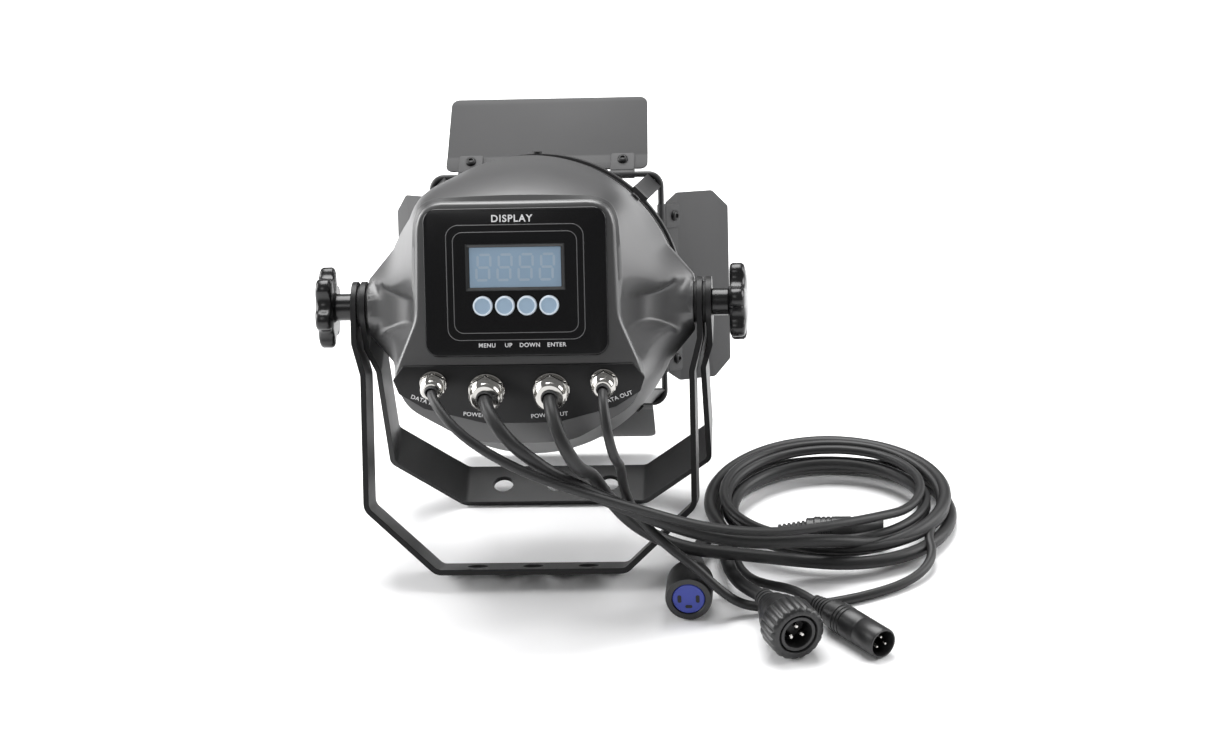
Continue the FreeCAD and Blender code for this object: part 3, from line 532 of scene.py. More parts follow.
def cutOut(piece, cutters):
    # takes each cutter's shape out of the piece, and the cutters away
    for cutter in cutters:
        cut = piece.modifiers.new("cut", "BOOLEAN")
        cut.object = cutter
        cut.solver = "EXACT"
    bpy.context.view_layer.update()
    mesh = bpy.data.meshes.new_from_object(piece.evaluated_get(bpy.context.evaluated_depsgraph_get()))
    piece.modifiers.clear()
    old = piece.data
    piece.data = mesh
    bpy.data.meshes.remove(old)
    for cutter in cutters:
        bpy.data.objects.remove(cutter)
    piece.data.shade_smooth()
    piece.data.set_sharp_from_angle(angle=sharpTurn)
    return piece


shell = {"rim": 93, "rimFront": 4, "rimBack": -6, "rear": -95, "faceTop": 70, "faceHalf": 60, "faceLow": 73,
         "facetTop": -28, "facetTilt": 17.5, "earEnd": 101.5, "earRadius": 17.5, "skirtTurn": 23,
         "skirtDepth": 55, "bandHalf": 9.5, "rings": 64, "bore": 88.2, "edgeDeep": 5, "edgeIn": 3.4,
         "edgeSteps": 6, "earStart": 60, "softFrom": 84, "softHalf": 26}


def outlineReach(angle, corners):
    # distance from the middle to a cornered outline
    best = 0
    for k, (x0, z0) in enumerate(corners):
        x1, z1 = corners[(k + 1) % len(corners)]
        cross = math.cos(angle) * (z1 - z0) - math.sin(angle) * (x1 - x0)
        if abs(cross) < 1e-9:
            continue
        reach = (x0 * (z1 - z0) - z0 * (x1 - x0)) / cross
        share = (x0 * math.sin(angle) - z0 * math.cos(angle)) / cross
        if reach > 0 and -1e-6 <= share <= 1 + 1e-6:
            best = reach
    return best


def faceReach(angle):
    # the back face's outline, with its corners averaged away
    top, half, low, facet = shell["faceTop"], shell["faceHalf"], shell["faceLow"], -shell["facetTop"]
    right = [(half - 8, top), (half, top - 8), (half + 2, 0), (half + 16, -facet - 6),
             (half + 8, -facet - 26), (half * 0.5, -low)]
    corners = right + [(-x, z) for x, z in reversed(right)]
    spread = [outlineReach(angle + math.radians(t), corners) for t in (-4, -2, 0, 2, 4)]
    return sum(spread) / len(spread)


def ramp(value, low, high):
    # a smooth step from 0 to 1
    share = min(max((value - low) / (high - low), 0), 1)
    return share * share * (3 - 2 * share)


def rimReach(angle):
    # the rim circle, pulled out straight to the top and bottom of each ear
    off = math.degrees(math.asin(min(1, abs(math.sin(angle)))))
    corner = math.degrees(math.atan2(shell["earRadius"], shell["earEnd"]))
    if off >= shell["skirtTurn"]:
        return shell["rim"]
    if off <= corner:
        return shell["earEnd"] / math.cos(math.radians(off))
    turn = math.radians(shell["skirtTurn"])
    x0, z0 = shell["earEnd"], shell["earRadius"]
    x1, z1 = shell["rim"] * math.cos(turn), shell["rim"] * math.sin(turn)
    return outlineReach(math.radians(off), [(x0, z0), (x1, z1), (0, 0)])


def shellReach(angle, y):
    # distance from the beam axis to the skin
    face = faceReach(angle)
    share = min(max((y - shell["rear"]) / (shell["rimBack"] - shell["rear"]), 0), 1)
    above = max(math.sin(angle), 0)
    off = abs(math.sin(angle))
    side = 1 - ramp(off, 0.25, 0.8)
    power = 0.86 + 0.3 * side
    swell = share ** power * (1 - 0.2 * above) + 0.2 * above * share
    swell += 0.1 * side * math.sin(math.pi * share)
    reach = face + (shell["rim"] - face) * swell
    reach += 4.5 * ramp(math.sin(angle), 0.1, 0.9) * math.sin(math.pi * share ** 0.8)
    flare = max(0, 1 + (y - shell["rimBack"]) / shell["skirtDepth"]) ** 2.3
    reach += max(0, rimReach(angle) - shell["rim"]) * flare
    # the hollow band that runs from the back face out to each ear
    hollow = 60.5 + 13 * share + 30 * max(0, (share - 0.3) / 0.575) ** 6
    hollow = min(hollow, shell["earEnd"]) / max(abs(math.cos(angle)), 0.2)
    z = abs(hollow * math.sin(angle))
    half = shell["bandHalf"] + (shell["earRadius"] - shell["bandHalf"]) * ramp(hollow, 74, shell["earEnd"])
    soft = 1.5 + 12 * (1 - ramp(share, 0.05, 0.75))
    band = (1 - ramp(z, half - 1.5, half + soft)) * ramp(share, 0.0, 0.12)
    reach = reach + (min(hollow, reach) - reach) * band
    # the round end of the ear itself
    across = shell["earRadius"] ** 2 - y ** 2
    if y > -shell["earRadius"] and abs(math.tan(angle)) * shell["earEnd"] < math.sqrt(max(across, 0)):
        reach = shell["earEnd"] / abs(math.cos(angle))
    return reach


def ringAngles():
    # closer together beside the ears, where the skin turns fastest
    quarter = [0.8 * k for k in range(38)] + [30.4 + 59.6 * k / 24 for k in range(25)]
    right = [-a for a in reversed(quarter[1:])] + quarter
    full = right[:-1] + [180 - a for a in reversed(right)][:-1]
    return [math.radians(a) for a in full]


def makeHousing():
    first = shell["rear"] + shell["edgeDeep"]
    span = shell["rimBack"] - first
    front, bore = shell["rimFront"], shell["bore"]
    bm = bmesh.new()
    angles = ringAngles()

    def ringAt(y, reachOf):
        return [bm.verts.new((reachOf(a) * math.cos(a), y, reachOf(a) * math.sin(a))) for a in angles]

    rings = []
    for k in range(shell["edgeSteps"]):
        turn = math.pi / 2 * k / shell["edgeSteps"]
        y = shell["rear"] + shell["edgeDeep"] * (1 - math.cos(turn))
        inset = shell["edgeIn"] * (1 - math.sin(turn))
        rings.append(ringAt(y, lambda a: faceReach(a) - inset))
    for k in range(shell["rings"] + 1):
        y = first + span * k / shell["rings"]
        rings.append(ringAt(y, lambda a: shellReach(a, y)))
    rings.append(ringAt(front - 0.6, rimReach))
    rings.append(ringAt(front, lambda a: rimReach(a) - 0.6))
    rings.append(ringAt(front, lambda a: bore))
    rings.append(ringAt(shell["rimBack"], lambda a: bore))
    for low, high in zip(rings, rings[1:]):
        for k in range(len(angles)):
            after = (k + 1) % len(angles)
            bm.faces.new((low[k], low[after], high[after], high[k]))
    bm.faces.new(rings[0])
    bm.faces.new(rings[-1])
    inner = [v for v in bm.verts if shell["rear"] + 6 < v.co.y < shell["rimBack"] - 0.5
             and abs(v.co.x) < shell["earEnd"] - 0.4]
    nearEar = [v for v in inner if abs(v.co.x) > shell["softFrom"] and abs(v.co.z) < shell["softHalf"]]
    # two soft passes over the skin, and three more beside the ears
    for group in (inner, inner, nearEar, nearEar, nearEar):
        bmesh.ops.smooth_vert(bm, verts=group, factor=0.5, use_axis_x=True, use_axis_y=True, use_axis_z=True)
    # the slanted lower facet
    tilt = math.radians(shell["facetTilt"])
    normal = Vector((0, -math.cos(tilt), -math.sin(tilt)))
    cut = bmesh.ops.bisect_plane(bm, geom=allOf(bm), plane_co=(0, shell["rear"], shell["facetTop"]),
                                 plane_no=normal, clear_outer=True)
    bmesh.ops.holes_fill(bm, edges=only(cut["geom_cut"], bmesh.types.BMEdge))
    bmesh.ops.triangulate(bm, faces=[f for f in bm.faces if len(f.verts) > 4])
    bmesh.ops.scale(bm, vec=(mm, mm, mm), verts=bm.verts)
    place(bm, headPlace)
    skin = meshOf(bm, "skin", housingPaint)
    lugs = []
    end, radius = shell["earEnd"], shell["earRadius"]
    for side in (-1, 1):
        lug = spun([(0, shell["earStart"]), (radius, shell["earStart"]), (radius, end - 1),
                    (radius - 0.3, end - 0.3), (radius - 1, end), (0, end)])
        place(lug, headPlace @ turned(side * 90, "Y"))
        lugs.append(meshOf(lug, "lug", housingPaint))
    stands(joined("rearHousing", [skin] + lugs), "rear_housing", "head")


makeHousing()
print("housing shaped")


# window and buttons are placed from the panel's middle, the window as (width, height, height above it)
panel = {"width": 110, "height": 89, "corner": 8, "thick": 2.5, "rise": 21.5, "back": -95,
         "window": (55, 24, 9), "frame": (59, 27.5), "buttonDrop": -14, "pitch": 13.3, "buttonHole": 6.25,
         "digitPitch": 12.7, "segmentLength": 7.6, "segmentWide": 1.5, "slant": 0.12}
# X is right, Y is up and Z points out of the panel
panelPlace = headPlace @ (moved(0, panel["back"], panel["rise"]) @ turned(90, "X"))


def lettering(name, text, size, spot, spread, bold):
    data = bpy.data.curves.new(name, "FONT")
    data.body = text
    data.size = size * mm
    data.align_x = "CENTER"
    data.align_y = "CENTER"
    data.space_character = spread
    data.offset = bold * mm
    data.extrude = 0.05 * mm
    item = link(name + "Text", data)
    bpy.context.view_layer.update()
    mesh = bpy.data.meshes.new_from_object(item.evaluated_get(bpy.context.evaluated_depsgraph_get()))
    bpy.data.objects.remove(item)
    mesh.transform(spot)
    mesh.name = name
    piece = link(name, mesh)
    mesh.materials.clear()
    mesh.materials.append(printWhite)
    return piece


def ridge(width, height, corner, line, rise):
    outer = roundedSlab(width, height, corner, panel["thick"] - 0.3, panel["thick"] + rise, edge=0.12)
    inner = roundedSlab(width - 2 * line, height - 2 * line, corner - line, -3, 6)
    outer, inner = placedParts(panelPlace, [(outer, ridgeGrey), (inner, ridgeGrey)])
    return cutOut(outer, [inner])


def toButton(bm, k):
    shift(bm, (k - 1.5) * panel["pitch"], panel["buttonDrop"])


def makePanel():
    # a slab with a pocket for the window and four holes for the buttons
    plate = roundedSlab(panel["width"], panel["height"], panel["corner"], 0, panel["thick"], edge=1.1)
    place(plate, panelPlace)
    plate = meshOf(plate, "displayPanel", panelGloss)
    frameWide, frameHigh = panel["frame"]
    _, _, windowRise = panel["window"]
    pocket = roundedSlab(frameWide, frameHigh, 1.2, 1.0, 8)
    shift(pocket, y=windowRise)
    cutters = [(pocket, panelGloss)]
    for k in range(4):
        hole = spun([(0, 0.4), (panel["buttonHole"], 0.4), (panel["buttonHole"], 8), (0, 8)])
        toButton(hole, k)
        cutters.append((hole, panelGloss))
    cutOut(plate, placedParts(panelPlace, cutters))
    stands(plate, "display_panel", "head")
    outline = joined("panelRidges", [ridge(83, 69.5, 7.5, 0.55, 0.22), ridge(75, 61, 6, 0.55, 0.22)])
    stands(outline, None, "head")


def makeWindow():
    wide, high, rise = panel["window"]
    pane = roundedSlab(wide, high, 0.6, 0.9, 1.9, edge=0.25)
    shift(pane, y=rise)
    place(pane, panelPlace)
    pane = meshOf(pane, "displayWindow", screenBlue)
    pieces = [pane]
    length = panel["segmentLength"]
    # the seven bars of a digit: across, up and turn
    bars = [(0, length, 0), (0, 0, 0), (0, -length, 0), (-length / 2, length / 2, 90),
            (length / 2, length / 2, 90), (-length / 2, -length / 2, 90), (length / 2, -length / 2, 90)]
    for digit in range(4):
        for x, y, turn in bars:
            bm = roundedSlab(length - 0.9, panel["segmentWide"], 0.7, 1.88, 1.93, segments=1)
            place(bm, turned(turn, "Z"))
            shift(bm, (digit - 1.5) * panel["digitPitch"] + x + panel["slant"] * y, rise + y)
            place(bm, panelPlace)
            pieces.append(meshOf(bm, "segment", segmentTint, smooth=False))
    # the bezel slopes from the frame down to the pane
    frameWide, frameHigh = panel["frame"]
    thick = panel["thick"]
    corners = ((-1, -1), (1, -1), (1, 1), (-1, 1))
    bezel = bmesh.new()
    loops = []
    for w, h, z in ((frameWide + 0.6, frameHigh + 0.6, thick - 0.05),
                    (frameWide + 0.6, frameHigh + 0.6, thick + 0.25),
                    (frameWide - 0.6, frameHigh - 0.6, thick + 0.25), (wide - 0.2, high - 0.2, 1.7)):
        loops.append([bezel.verts.new((x * w / 2 * mm, (rise + y * h / 2) * mm, z * mm)) for x, y in corners])
    for low, top in zip(loops, loops[1:]):
        for k in range(4):
            bezel.faces.new((low[k], low[(k + 1) % 4], top[(k + 1) % 4], top[k]))
    place(bezel, panelPlace)
    pieces.append(meshOf(bezel, "bezel", bezelGrey, smooth=False))
    stands(joined("displayWindow", pieces), "display_window", "head")


def makeButtons():
    for k, name in enumerate(("menu", "up", "down", "enter")):
        cap = spun([(0, -6), (5.9, -6), (5.9, 3.4), (5.6, 3.95), (5.1, 4.1), (4.75, 3.95)], 40)
        top = spun([(4.75, 3.95), (4.6, 3.7), (4.3, 3.62), (2.5, 3.7), (0, 3.74)], 40)
        toButton(cap, k)
        toButton(top, k)
        pieces = placedParts(panelPlace, [(cap, buttonRim), (top, buttonBlue)])
        stands(joined(name + "Button", pieces), name + "_button", name + "_button")


def makeLettering():
    front = panel["back"] - panel["thick"] - 0.02
    rise = panel["rise"]
    words = [("DISPLAY", 5.9, -1.5, rise + 38, 1.16, 0.12)]
    words += [(text, 3.5, x, rise - 37.8, 1.12, 0.06)
              for text, x in (("MENU", -17.9), ("UP", -5.1), ("DOWN", 7.8), ("ENTER", 23.9))]
    pieces = []
    for text, size, x, z, spread, bold in words:
        spot = headPlace @ moved(x, front, z) @ turned(90, "X")
        pieces.append(lettering("word" + text.title(), text, size, spot, spread, bold))
    stands(joined("panelLettering", pieces), None, "head")


makePanel()
makeWindow()
makeButtons()
makeLettering()
print("display ready")


# each gland size as (distance from the middle, distance below the fold, radius)
facet = {"half": 76, "thick": 1.6, "small": (51.5, 11, 8.2), "big": (19.5, 16, 11), "letters": 3.7}
# X is right, Y is up the facet and Z points out of it
facetPlace = headPlace @ moved(0, shell["rear"], shell["facetTop"]) @ turned(90 + shell["facetTilt"], "X")


def makeConnectorPanel():
    half = facet["half"]
    right = [(half - 6.5, 0), (half, 9), (half - 3, 18), (half - 18, 28), (22, 38)]
    bm = bmesh.new()
    outline = right + [(-x, down) for x, down in reversed(right)]
    bm.faces.new([bm.verts.new((x * mm, -down * mm, -mm)) for x, down in outline])
    raiseFaces(bm, facet["thick"] + 1)
    bevelEdges(bm, 0.7, 3)
    place(bm, facetPlace)
    stands(meshOf(bm, "connectorPanel", facetPlastic), "connector_panel", "head")


def makeGlands():
    kinds = [("data_in_gland", -1, "small", 3), ("power_in_gland", -1, "big", 4.25),
             ("power_out_gland", 1, "big", 4.25), ("data_out_gland", 1, "small", 3)]
    for node, side, size, cord in kinds:
        x, drop, radius = facet[size]
        base = facet["thick"]
        washer = spun([(cord + 0.3, base), (radius, base), (radius, base + 1.0), (radius - 0.5, base + 1.4),
                       (cord + 0.3, base + 1.4)])
        nut = bmesh.new()
        bmesh.ops.create_cone(nut, cap_ends=True, segments=6, radius1=radius * mm, radius2=radius * mm,
                              depth=3.6 * mm)
        bevelEdges(nut, 0.5, 3)
        shift(nut, z=base + 3.1)
        dome = [(radius - 1.6, base + 4.6)]
        for k in range(5):
            z = base + 5.2 + k * 1.3
            dome += [(radius - 1.7, z), (radius - 1.35, z + 0.4), (radius - 1.7, z + 0.8)]
        dome += [(radius - 2.1, base + 12.2), (radius - 3.0, base + 13), (cord + 0.5, base + 13),
                 (cord + 0.2, base + 12.4), (cord + 0.2, base + 6)]
        collar = spun(dome, 64)
        sleeve = spun([(cord + 0.05, base + 6), (cord + 0.05, base + 15), (cord + 0.5, base + 15),
                       (cord + 1.1, base + 13.4), (cord + 1.3, base + 11)], 40)
        for bm in (washer, nut, collar, sleeve):
            shift(bm, side * x, -drop)
        pieces = placedParts(facetPlace, [(washer, nickel), (nut, nickel), (collar, nickel),
                                          (sleeve, rubberBlack)])
        first, second, _ = node.split("_")
        name = first + second.title() + "Gland"
        stands(joined(name, pieces), node, "head")
    labels = [("DATA IN", -58.5, -22.3, -22), ("POWER IN", -25.5, -32.2, -6), ("POWER OUT", 17.5, -32.8, 4),
              ("DATA OUT", 59, -22, 21)]
    pieces = []
    for text, x, y, turn in labels:
        spot = facetPlace @ moved(x, y, facet["thick"] + 0.03) @ turned(turn, "Z")
        pieces.append(lettering("label" + text.replace(" ", ""), text, facet["letters"], spot, 1.05, 0.03))
    stands(joined("facetLettering", pieces), None, "head")


makeConnectorPanel()
makeGlands()
print("connector panel ready")


knob = {"hubRadius": 8.5, "hubLength": 11.5, "start": 112.5, "radius": 25.5, "lobes": 6, "dip": 3.2,
        "bore": 4.1}


def makeKnobs():
    for side, name, turn in ((-1, "left", 90), (1, "right", 0)):
        bm = bmesh.new()
        bmesh.ops.create_circle(bm, cap_ends=True, radius=1, segments=144)
        base = knob["start"] + knob["hubLength"]

        def lobed(verts, z, scale, soft):
            for v in verts:
                angle = math.atan2(v.co.y, v.co.x)
                wave = math.cos(knob["lobes"] * (angle - math.radians(turn)))
                reach = knob["radius"] - knob["dip"]
                reach += knob["dip"] * (1 - soft) * math.copysign(abs(wave) ** 0.6, wave)
                v.co = Vector((math.cos(angle), math.sin(angle), 0)) * reach * scale
                v.co.z = z

        lobed(bm.verts, base, 0.90, 0)
        levels = [(0.6, 0.965), (2.0, 1.0), (7.4, 1.0), (8.8, 0.965), (9.6, 0.90), (10.3, 0.74), (10.8, 0.5),
                  (11, 0.25)]
        face = list(bm.faces)
        for up, scale in levels:
            grown = bmesh.ops.extrude_face_region(bm, geom=face)
            verts = only(grown["geom"], bmesh.types.BMVert)
            bmesh.ops.delete(bm, geom=face, context="FACES_ONLY")
            face = only(grown["geom"], bmesh.types.BMFace)
            # the lobes fade as the top rounds over
            lobed(verts, base + up, scale, max(0, (0.95 - scale) * 0.9))
        bmesh.ops.scale(bm, vec=(mm, mm, mm), verts=bm.verts)
        bmesh.ops.holes_fill(bm, edges=[e for e in bm.edges if len(e.link_faces) == 1])
        bore, hubRadius, start = knob["bore"], knob["hubRadius"], knob["start"]
        hub = spun([(bore, start), (hubRadius - 0.6, start), (hubRadius, start + 0.6),
                    (hubRadius, base - 1.5), (hubRadius + 1.8, base + 0.3), (bore, base + 0.3)])
        spot = Matrix.Translation(pivot) @ turned(side * 90, "Y")
        pieces = placedParts(spot, [(bm, knobPlastic), (hub, knobPlastic)])
        stands(joined(name + "StarKnob", pieces), name + "_star_knob", name + "_knob")


makeKnobs()
print("knobs ready")


# side is the turn about the beam, open the fold about the wire; half widths at hinge, middle and tip
leafKinds = {
    "top": {"side": 0, "open": 45, "hinge": 66.5, "wide": 66.5, "tip": 65, "spread": 50, "round": 5},
    "right": {"side": 90, "open": 34, "hinge": 56, "wide": 62, "tip": 51, "spread": 47, "round": 1.2},
    "bottom": {"side": 180, "open": 20, "hinge": 66.5, "wide": 66.5, "tip": 65, "spread": 50, "round": 5},
    "left": {"side": 270, "open": 22, "hinge": 56, "wide": 62, "tip": 51, "spread": 47, "round": 1.2},
}
leafSheet = {"start": 5, "length": 62, "crease": 17, "thick": 1.2, "turn": 10, "wireFront": 112,
             "wireHalf": 75}


def leafPlace(kind):
    wire = moved(0, leafSheet["wireFront"], leafSheet["wireHalf"])
    return headPlace @ turned(kind["side"], "Y") @ wire @ turned(kind["open"], "X")


def makeLeaf(name, kind):
    start, length, crease = leafSheet["start"], leafSheet["length"], leafSheet["crease"]
    if name in ("top", "bottom"):
        right = [(kind["hinge"], start), (kind["tip"], length)]
    else:
        right = [(kind["hinge"], start), (kind["wide"], crease), (kind["wide"], length - 14),
                 (kind["tip"], length)]
    bm = bmesh.new()
    outline = right + [(-x, y) for x, y in reversed(right)]
    bm.faces.new([bm.verts.new((x * mm, y * mm, 0)) for x, y in outline])
    roundOff(bm, list(bm.verts), kind["round"], 5, "VERTICES")
    for y in (crease - 0.8, crease, crease + 0.8):
        bmesh.ops.bisect_plane(bm, geom=allOf(bm), plane_co=(0, y * mm, 0), plane_no=(0, 1, 0))
    slope = math.tan(math.radians(leafSheet["turn"]))
    for v in bm.verts:
        past = v.co.y - crease * mm
        if past > 0.1 * mm:
            v.co.z = past * slope
        elif past > -0.5 * mm:
            v.co.z = 0.0
    bmesh.ops.recalc_face_normals(bm, faces=bm.faces)
    bmesh.ops.solidify(bm, geom=list(bm.faces), thickness=leafSheet["thick"] * mm)
    # the sheet's middle goes through the wire
    hingeHeights = [v.co.z for v in bm.verts if v.co.y < (start + 1) * mm]
    bmesh.ops.translate(bm, vec=(0, 0, -sum(hingeHeights) / len(hingeHeights)), verts=bm.verts)
    bevelEdges(bm, 0.25, 2, 50)
    place(bm, leafPlace(kind))
    stands(meshOf(bm, name + "Leaf", doorPaint), name + "_leaf", name + "_leaf")


clip = {"wide": 16, "wrapRadius": 2.75, "steps": 14, "strip": 0.5, "tab": (15.6, 15), "screwAt": 7}


def makeClips(name, kind):
    half = leafSheet["thick"] / 2
    screwAt = leafSheet["start"] + clip["screwAt"]
    # the strip runs round the wire and out along both faces of the leaf
    path = [(15.0, half + 0.6), (6.0, half + 0.6), (3.4, half + 0.75)]
    for k in range(clip["steps"] + 1):
        angle = math.radians(35 + 290 * k / clip["steps"])
        path.append((clip["wrapRadius"] * math.cos(angle), clip["wrapRadius"] * math.sin(angle)))
    path += [(3.6, -half - 0.7), (9.0, -half - 0.65)]
    pieces = []
    for x in (-kind["spread"], kind["spread"]):
        wrap = bmesh.new()
        line = [wrap.verts.new(((x - clip["wide"] / 2) * mm, y * mm, z * mm)) for y, z in path]
        edges = [wrap.edges.new(pair) for pair in zip(line, line[1:])]
        grown = bmesh.ops.extrude_edge_only(wrap, edges=edges)
        shift(wrap, clip["wide"], verts=only(grown["geom"], bmesh.types.BMVert))
        bmesh.ops.recalc_face_normals(wrap, faces=wrap.faces)
        bmesh.ops.solidify(wrap, geom=list(wrap.faces), thickness=clip["strip"] * mm)
        bevelEdges(wrap, 0.12, 2, 60)
        tab = roundedSlab(*clip["tab"], 1.6, half + 0.1, half + 1.1, segments=3, edge=0.35)
        shift(tab, x, leafSheet["start"] + 5.2)
        head = spun([(0, 0.3), (3.4, 0.3), (3.4, 1.1), (2.9, 1.9), (1.7, 2.35), (1.5, 2.35), (1.3, 1.3),
                     (0, 1.3)], 32)
        shift(head, x, screwAt, half + 0.8)
        tail = spun([(0, -3.4), (1.7, -3.4), (2.0, -3.0), (2.0, 1.0), (0, 1.0)], 24)
        shift(tail, x, screwAt)
        pieces += placedParts(leafPlace(kind), [(wrap, doorPaint), (tab, doorPaint), (head, strapPaint),
                                                (tail, studSteel)])
    stands(joined(name + "LeafClips", pieces), name + "_leaf_clips", name + "_leaf")


# lenses stand in rings of (how many, ring radius)
lampFace = {"radius": 83, "front": 45.5, "back": 40.5, "lens": 9.2, "lensFoot": 46.2, "lensRise": 4.2,
            "domeSteps": 7, "rings": ((1, 0), (6, 22.4), (12, 44.8), (18, 68))}


def makeLampFace():
    radius, front, back = (lampFace[k] for k in ("radius", "front", "back"))
    plate = spun([(0, front), (radius - 0.6, front), (radius, front - 0.6), (radius, back), (0, back)], 72)
    beam = headPlace @ turned(-90, "X")
    parts = [(plate, facetPlastic)]
    lens, foot, steps = lampFace["lens"], lampFace["lensFoot"], lampFace["domeSteps"]
    cup = [(lens + 1.0, front - 0.2), (lens + 0.9, foot + 0.4), (lens + 0.2, foot + 0.7), (lens, foot)]
    dome = [(lens, foot)]
    for k in range(1, steps + 1):
        turn = math.pi / 2 * k / steps
        dome.append((lens * math.cos(turn) if k < steps else 0, foot + lampFace["lensRise"] * math.sin(turn)))
    for count, out in lampFace["rings"]:
        for k in range(count):
            angle = 2 * math.pi * k / count
            for profile, material in ((cup, barrelPaint), (dome, lensClear)):
                bm = spun(profile, 24)
                shift(bm, out * math.cos(angle), -out * math.sin(angle))
                parts.append((bm, material))
    stands(joined("lensPlate", placedParts(beam, parts)), "lens_plate", "head")


makeLampFace()
for leafName, leafKind in leafKinds.items():
    makeLeaf(leafName, leafKind)
    makeClips(leafName, leafKind)
softened("barn_door_wire", wirePaint, 0)
softened("barn_door_ring", wirePaint, 0.25)
print("barn doors ready")


# pieces whose CAD shape is kept, with the width of their broken edges
softened("near_yoke", strapPaint, 0.6, 3)
softened("far_yoke", strapPaint, 0.6, 3)
for name, material, width in (
        ("front_barrel", barrelPaint, 0.3), ("front_ring", barrelPaint, 0.5),
        ("glass_gasket", rubberBlack, 0.2), ("ear_washers", rubberBlack, 0.4),
        ("arm_washers", rubberBlack, 0.4), ("housing_screws", strapPaint, 0.25),
        ("ring_screws", strapPaint, 0.25)):
    softened(name, material, width)
# pieces shown as the frame has them, most of them inside
carried = {
    "front_glass": clearGlass, "led_board": boardGreen, "led_chips": chipYellow, "heat_sink": bareAlloy,
    "power_supply": bareAlloy, "control_board": boardGreen, "pivot_inserts": studSteel,
    "left_knob_stud": studSteel, "right_knob_stud": studSteel,
}
for name, material in carried.items():
    nodes[name].data.materials.clear()
    nodes[name].data.materials.append(material)
print("stand and shells ready")


# where each cord ends, and a point that its connector points at
plugAt = {"powerIn": ((143, -117, 18), (166, -166, 18)), "dataIn": ((174.5, -109.5, 9.5), (215, -161, 9.5)),
          "powerOut": ((98, -66, 14.5), (97.5, -119, 14.5)), "dataOut": ((150, -16, 9.5), (214, -16, 9.5))}


def alongLine(start, end):
    # a drawing's Z axis laid from one point towards another
    way = Vector(end) - Vector(start)
    return Matrix.Translation(Vector(start) * mm) @ way.to_track_quat("Z", "Y").to_matrix().to_4x4()


def ribbedTaper(low, lowRadius, high, highRadius, ribs):
    profile = [(0, low), (lowRadius - 0.6, low), (lowRadius, low + 0.4)]
    step = (high - low) / ribs
    for k in range(ribs):
        radius = lowRadius + (highRadius - lowRadius) * (k + 0.5) / ribs
        z = low + k * step
        profile += [(radius, z + step * 0.12), (radius, z + step * 0.62), (radius - 0.9, z + step * 0.72),
                    (radius - 0.9, z + step * 0.95)]
    profile += [(highRadius, high), (0, high)]
    return spun(profile, 40)


def threePins(radius, circle, low, high):
    # three round pins on a circle, one of them at the top; thin dark ones are painted shade in pin holes
    bm = bmesh.new()
    for k in range(3):
        pin = spun([(0, low), (radius, low), (radius, high - 0.8), (radius * 0.55, high), (0, high)], 20)
        angle = math.radians(90 + 120 * k)
        shift(pin, circle * math.cos(angle), circle * math.sin(angle))
        addInto(bm, pin)
    return bm


nutGrip = {"grooves": 20, "deep": 1.1}


def makePowerPlug():
    spot = alongLine(*plugAt["powerIn"])
    boot = ribbedTaper(0, 5.5, 14, 7.4, 4)
    body = spun([(0, 13.6), (7.6, 13.6), (9.4, 14.4), (10, 15.4), (10, 23.2), (13, 24.2), (13.4, 25),
                 (13.4, 32.4), (11.4, 33), (11.4, 52.4), (11.0, 53), (9.2, 53), (8.9, 52.6), (8.9, 39.2),
                 (0, 39.2)])
    insert = spun([(0, 39.4), (7.6, 39.4), (7.6, 41.5), (0, 41.5)])
    parts = placedParts(spot, [(boot, rubberBlack), (body, connectorBlack), (insert, connectorBlack)])
    plug = stands(joined("powerInPlug", parts), "power_in_plug", "near_yoke")
    # the coupling nut grows ring by ring: height, radius and depth of its grip grooves
    nut = bmesh.new()
    bmesh.ops.create_circle(nut, cap_ends=False, radius=1, segments=120)
    ringEdges = list(nut.edges)
    stages = [(34, 11.9, 0), (34, 15.8, 0), (34.8, 16.8, 0.3), (36, 17.4, 1), (51, 17.4, 1),
              (52.4, 16.6, 0.4), (53.4, 15.2, 0), (53.4, 12.6, 0), (52.4, 11.9, 0)]
    for index, (z, radius, groove) in enumerate(stages):
        if index:
            grown = bmesh.ops.extrude_edge_only(nut, edges=ringEdges)
            ringEdges = only(grown["geom"], bmesh.types.BMEdge)
        for v in {v for e in ringEdges for v in e.verts}:
            angle = math.atan2(v.co.y, v.co.x)
            dip = groove * nutGrip["deep"] * max(0, math.cos(nutGrip["grooves"] * angle)) ** 2
            v.co = Vector((math.cos(angle) * (radius - dip), math.sin(angle) * (radius - dip), z))
    bmesh.ops.bridge_loops(nut, edges=[e for e in nut.edges if len(e.link_faces) == 1 or not e.link_faces])
    bmesh.ops.scale(nut, vec=(mm, mm, mm), verts=nut.verts)
    ring, = placedParts(spot, [(nut, connectorBlack)])
    ring.name = "powerCouplingNut"
    stands(ring, "power_coupling_nut", "coupling_nut")
    return plug, ring, placedParts(spot, [(threePins(1.5, 4.2, 39, 51), nickel)])


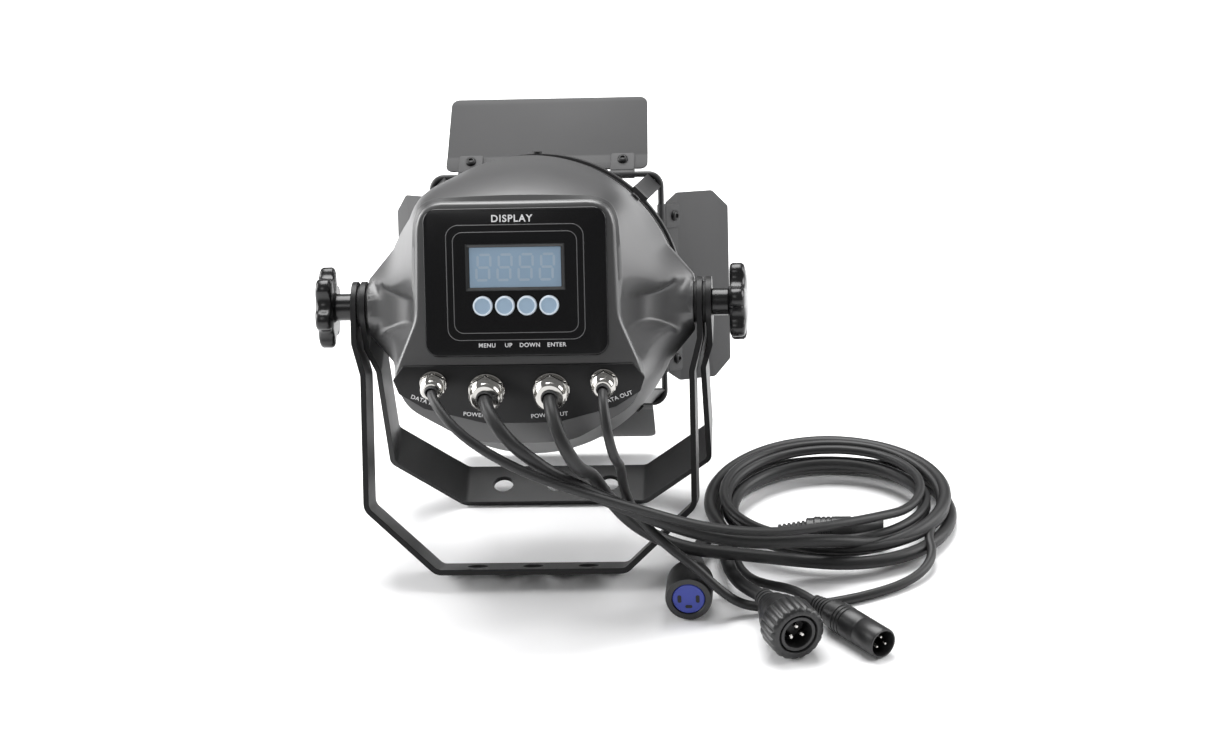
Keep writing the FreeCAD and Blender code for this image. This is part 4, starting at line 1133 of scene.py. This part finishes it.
def makeDataPlug(label, node, key, male):
    spot = alongLine(*plugAt[key])
    boot = ribbedTaper(0, 4.6, 18, 7.2, 6)
    case = [(0, 17.6), (7.4, 17.6), (8.7, 18.4), (8.7, 22.6), (9.5, 23.4)]
    for z in (27, 30, 33):
        case += [(9.5, z), (8.9, z + 0.3), (8.9, z + 1.0), (9.5, z + 1.3)]
    floorAt = 51 if male else 65
    case += [(9.5, 46), (9.1, 46.6), (9.1, 48), (9.5, 48.6), (9.5, 66), (9.0, 67), (8.2, 67), (7.9, 66.5),
             (7.9, floorAt), (0, floorAt)]
    parts = [(boot, rubberBlack), (spun(case), connectorBlack)]
    if not male:
        # three thin dark discs on the socket's floor are painted shade for its pin holes
        parts.append((threePins(1.3, 3.6, 64.9, 65.1), paintedHoleShade))
    plug = stands(joined(label, placedParts(spot, parts)), node, "near_yoke")
    pins = placedParts(spot, [(threePins(1.1, 3.6, 50.8, 65), nickel)]) if male else []
    return plug, pins


def makePowerSocket():
    spot = alongLine(*plugAt["powerOut"])
    boot = ribbedTaper(0, 6.6, 20, 11.6, 5)
    body = spun([(0, 19), (11.8, 19), (12.8, 21), (14.1, 23), (14.5, 25), (14.5, 46), (13.9, 48), (10.6, 48),
                 (10.2, 47.5), (10.2, 46.2), (0, 46.2)])
    face = spun([(0, 46), (9.9, 46), (9.9, 47.0), (9.5, 47.4), (0, 47.4)])
    slots = []
    # thin dark slabs on the socket face are painted shade for its slots
    for x, y, wide, high in ((-5.6, 0, 2.4, 5.2), (5.6, 0, 2.4, 5.2), (0, -5.2, 4.4, 2.2)):
        bm = roundedSlab(wide, high, 1.0, 47.3, 47.45, segments=3)
        shift(bm, x, y)
        slots.append((bm, paintedHoleShade))
    parts = placedParts(spot, [(boot, rubberBlack), (body, connectorBlack), (face, socketBlue)] + slots)
    return stands(joined("powerOutSocket", parts), "power_out_socket", "near_yoke")


powerPlug, couplingNut, powerPins = makePowerPlug()
dataPlug, dataPins = makeDataPlug("dataInPlug", "data_in_plug", "dataIn", True)
dataSocket, _ = makeDataPlug("dataOutSocket", "data_out_socket", "dataOut", False)
powerSocket = makePowerSocket()
plugPins = stands(joined("plugPins", powerPins + dataPins), "plug_pins", "near_yoke")
print("connectors ready")
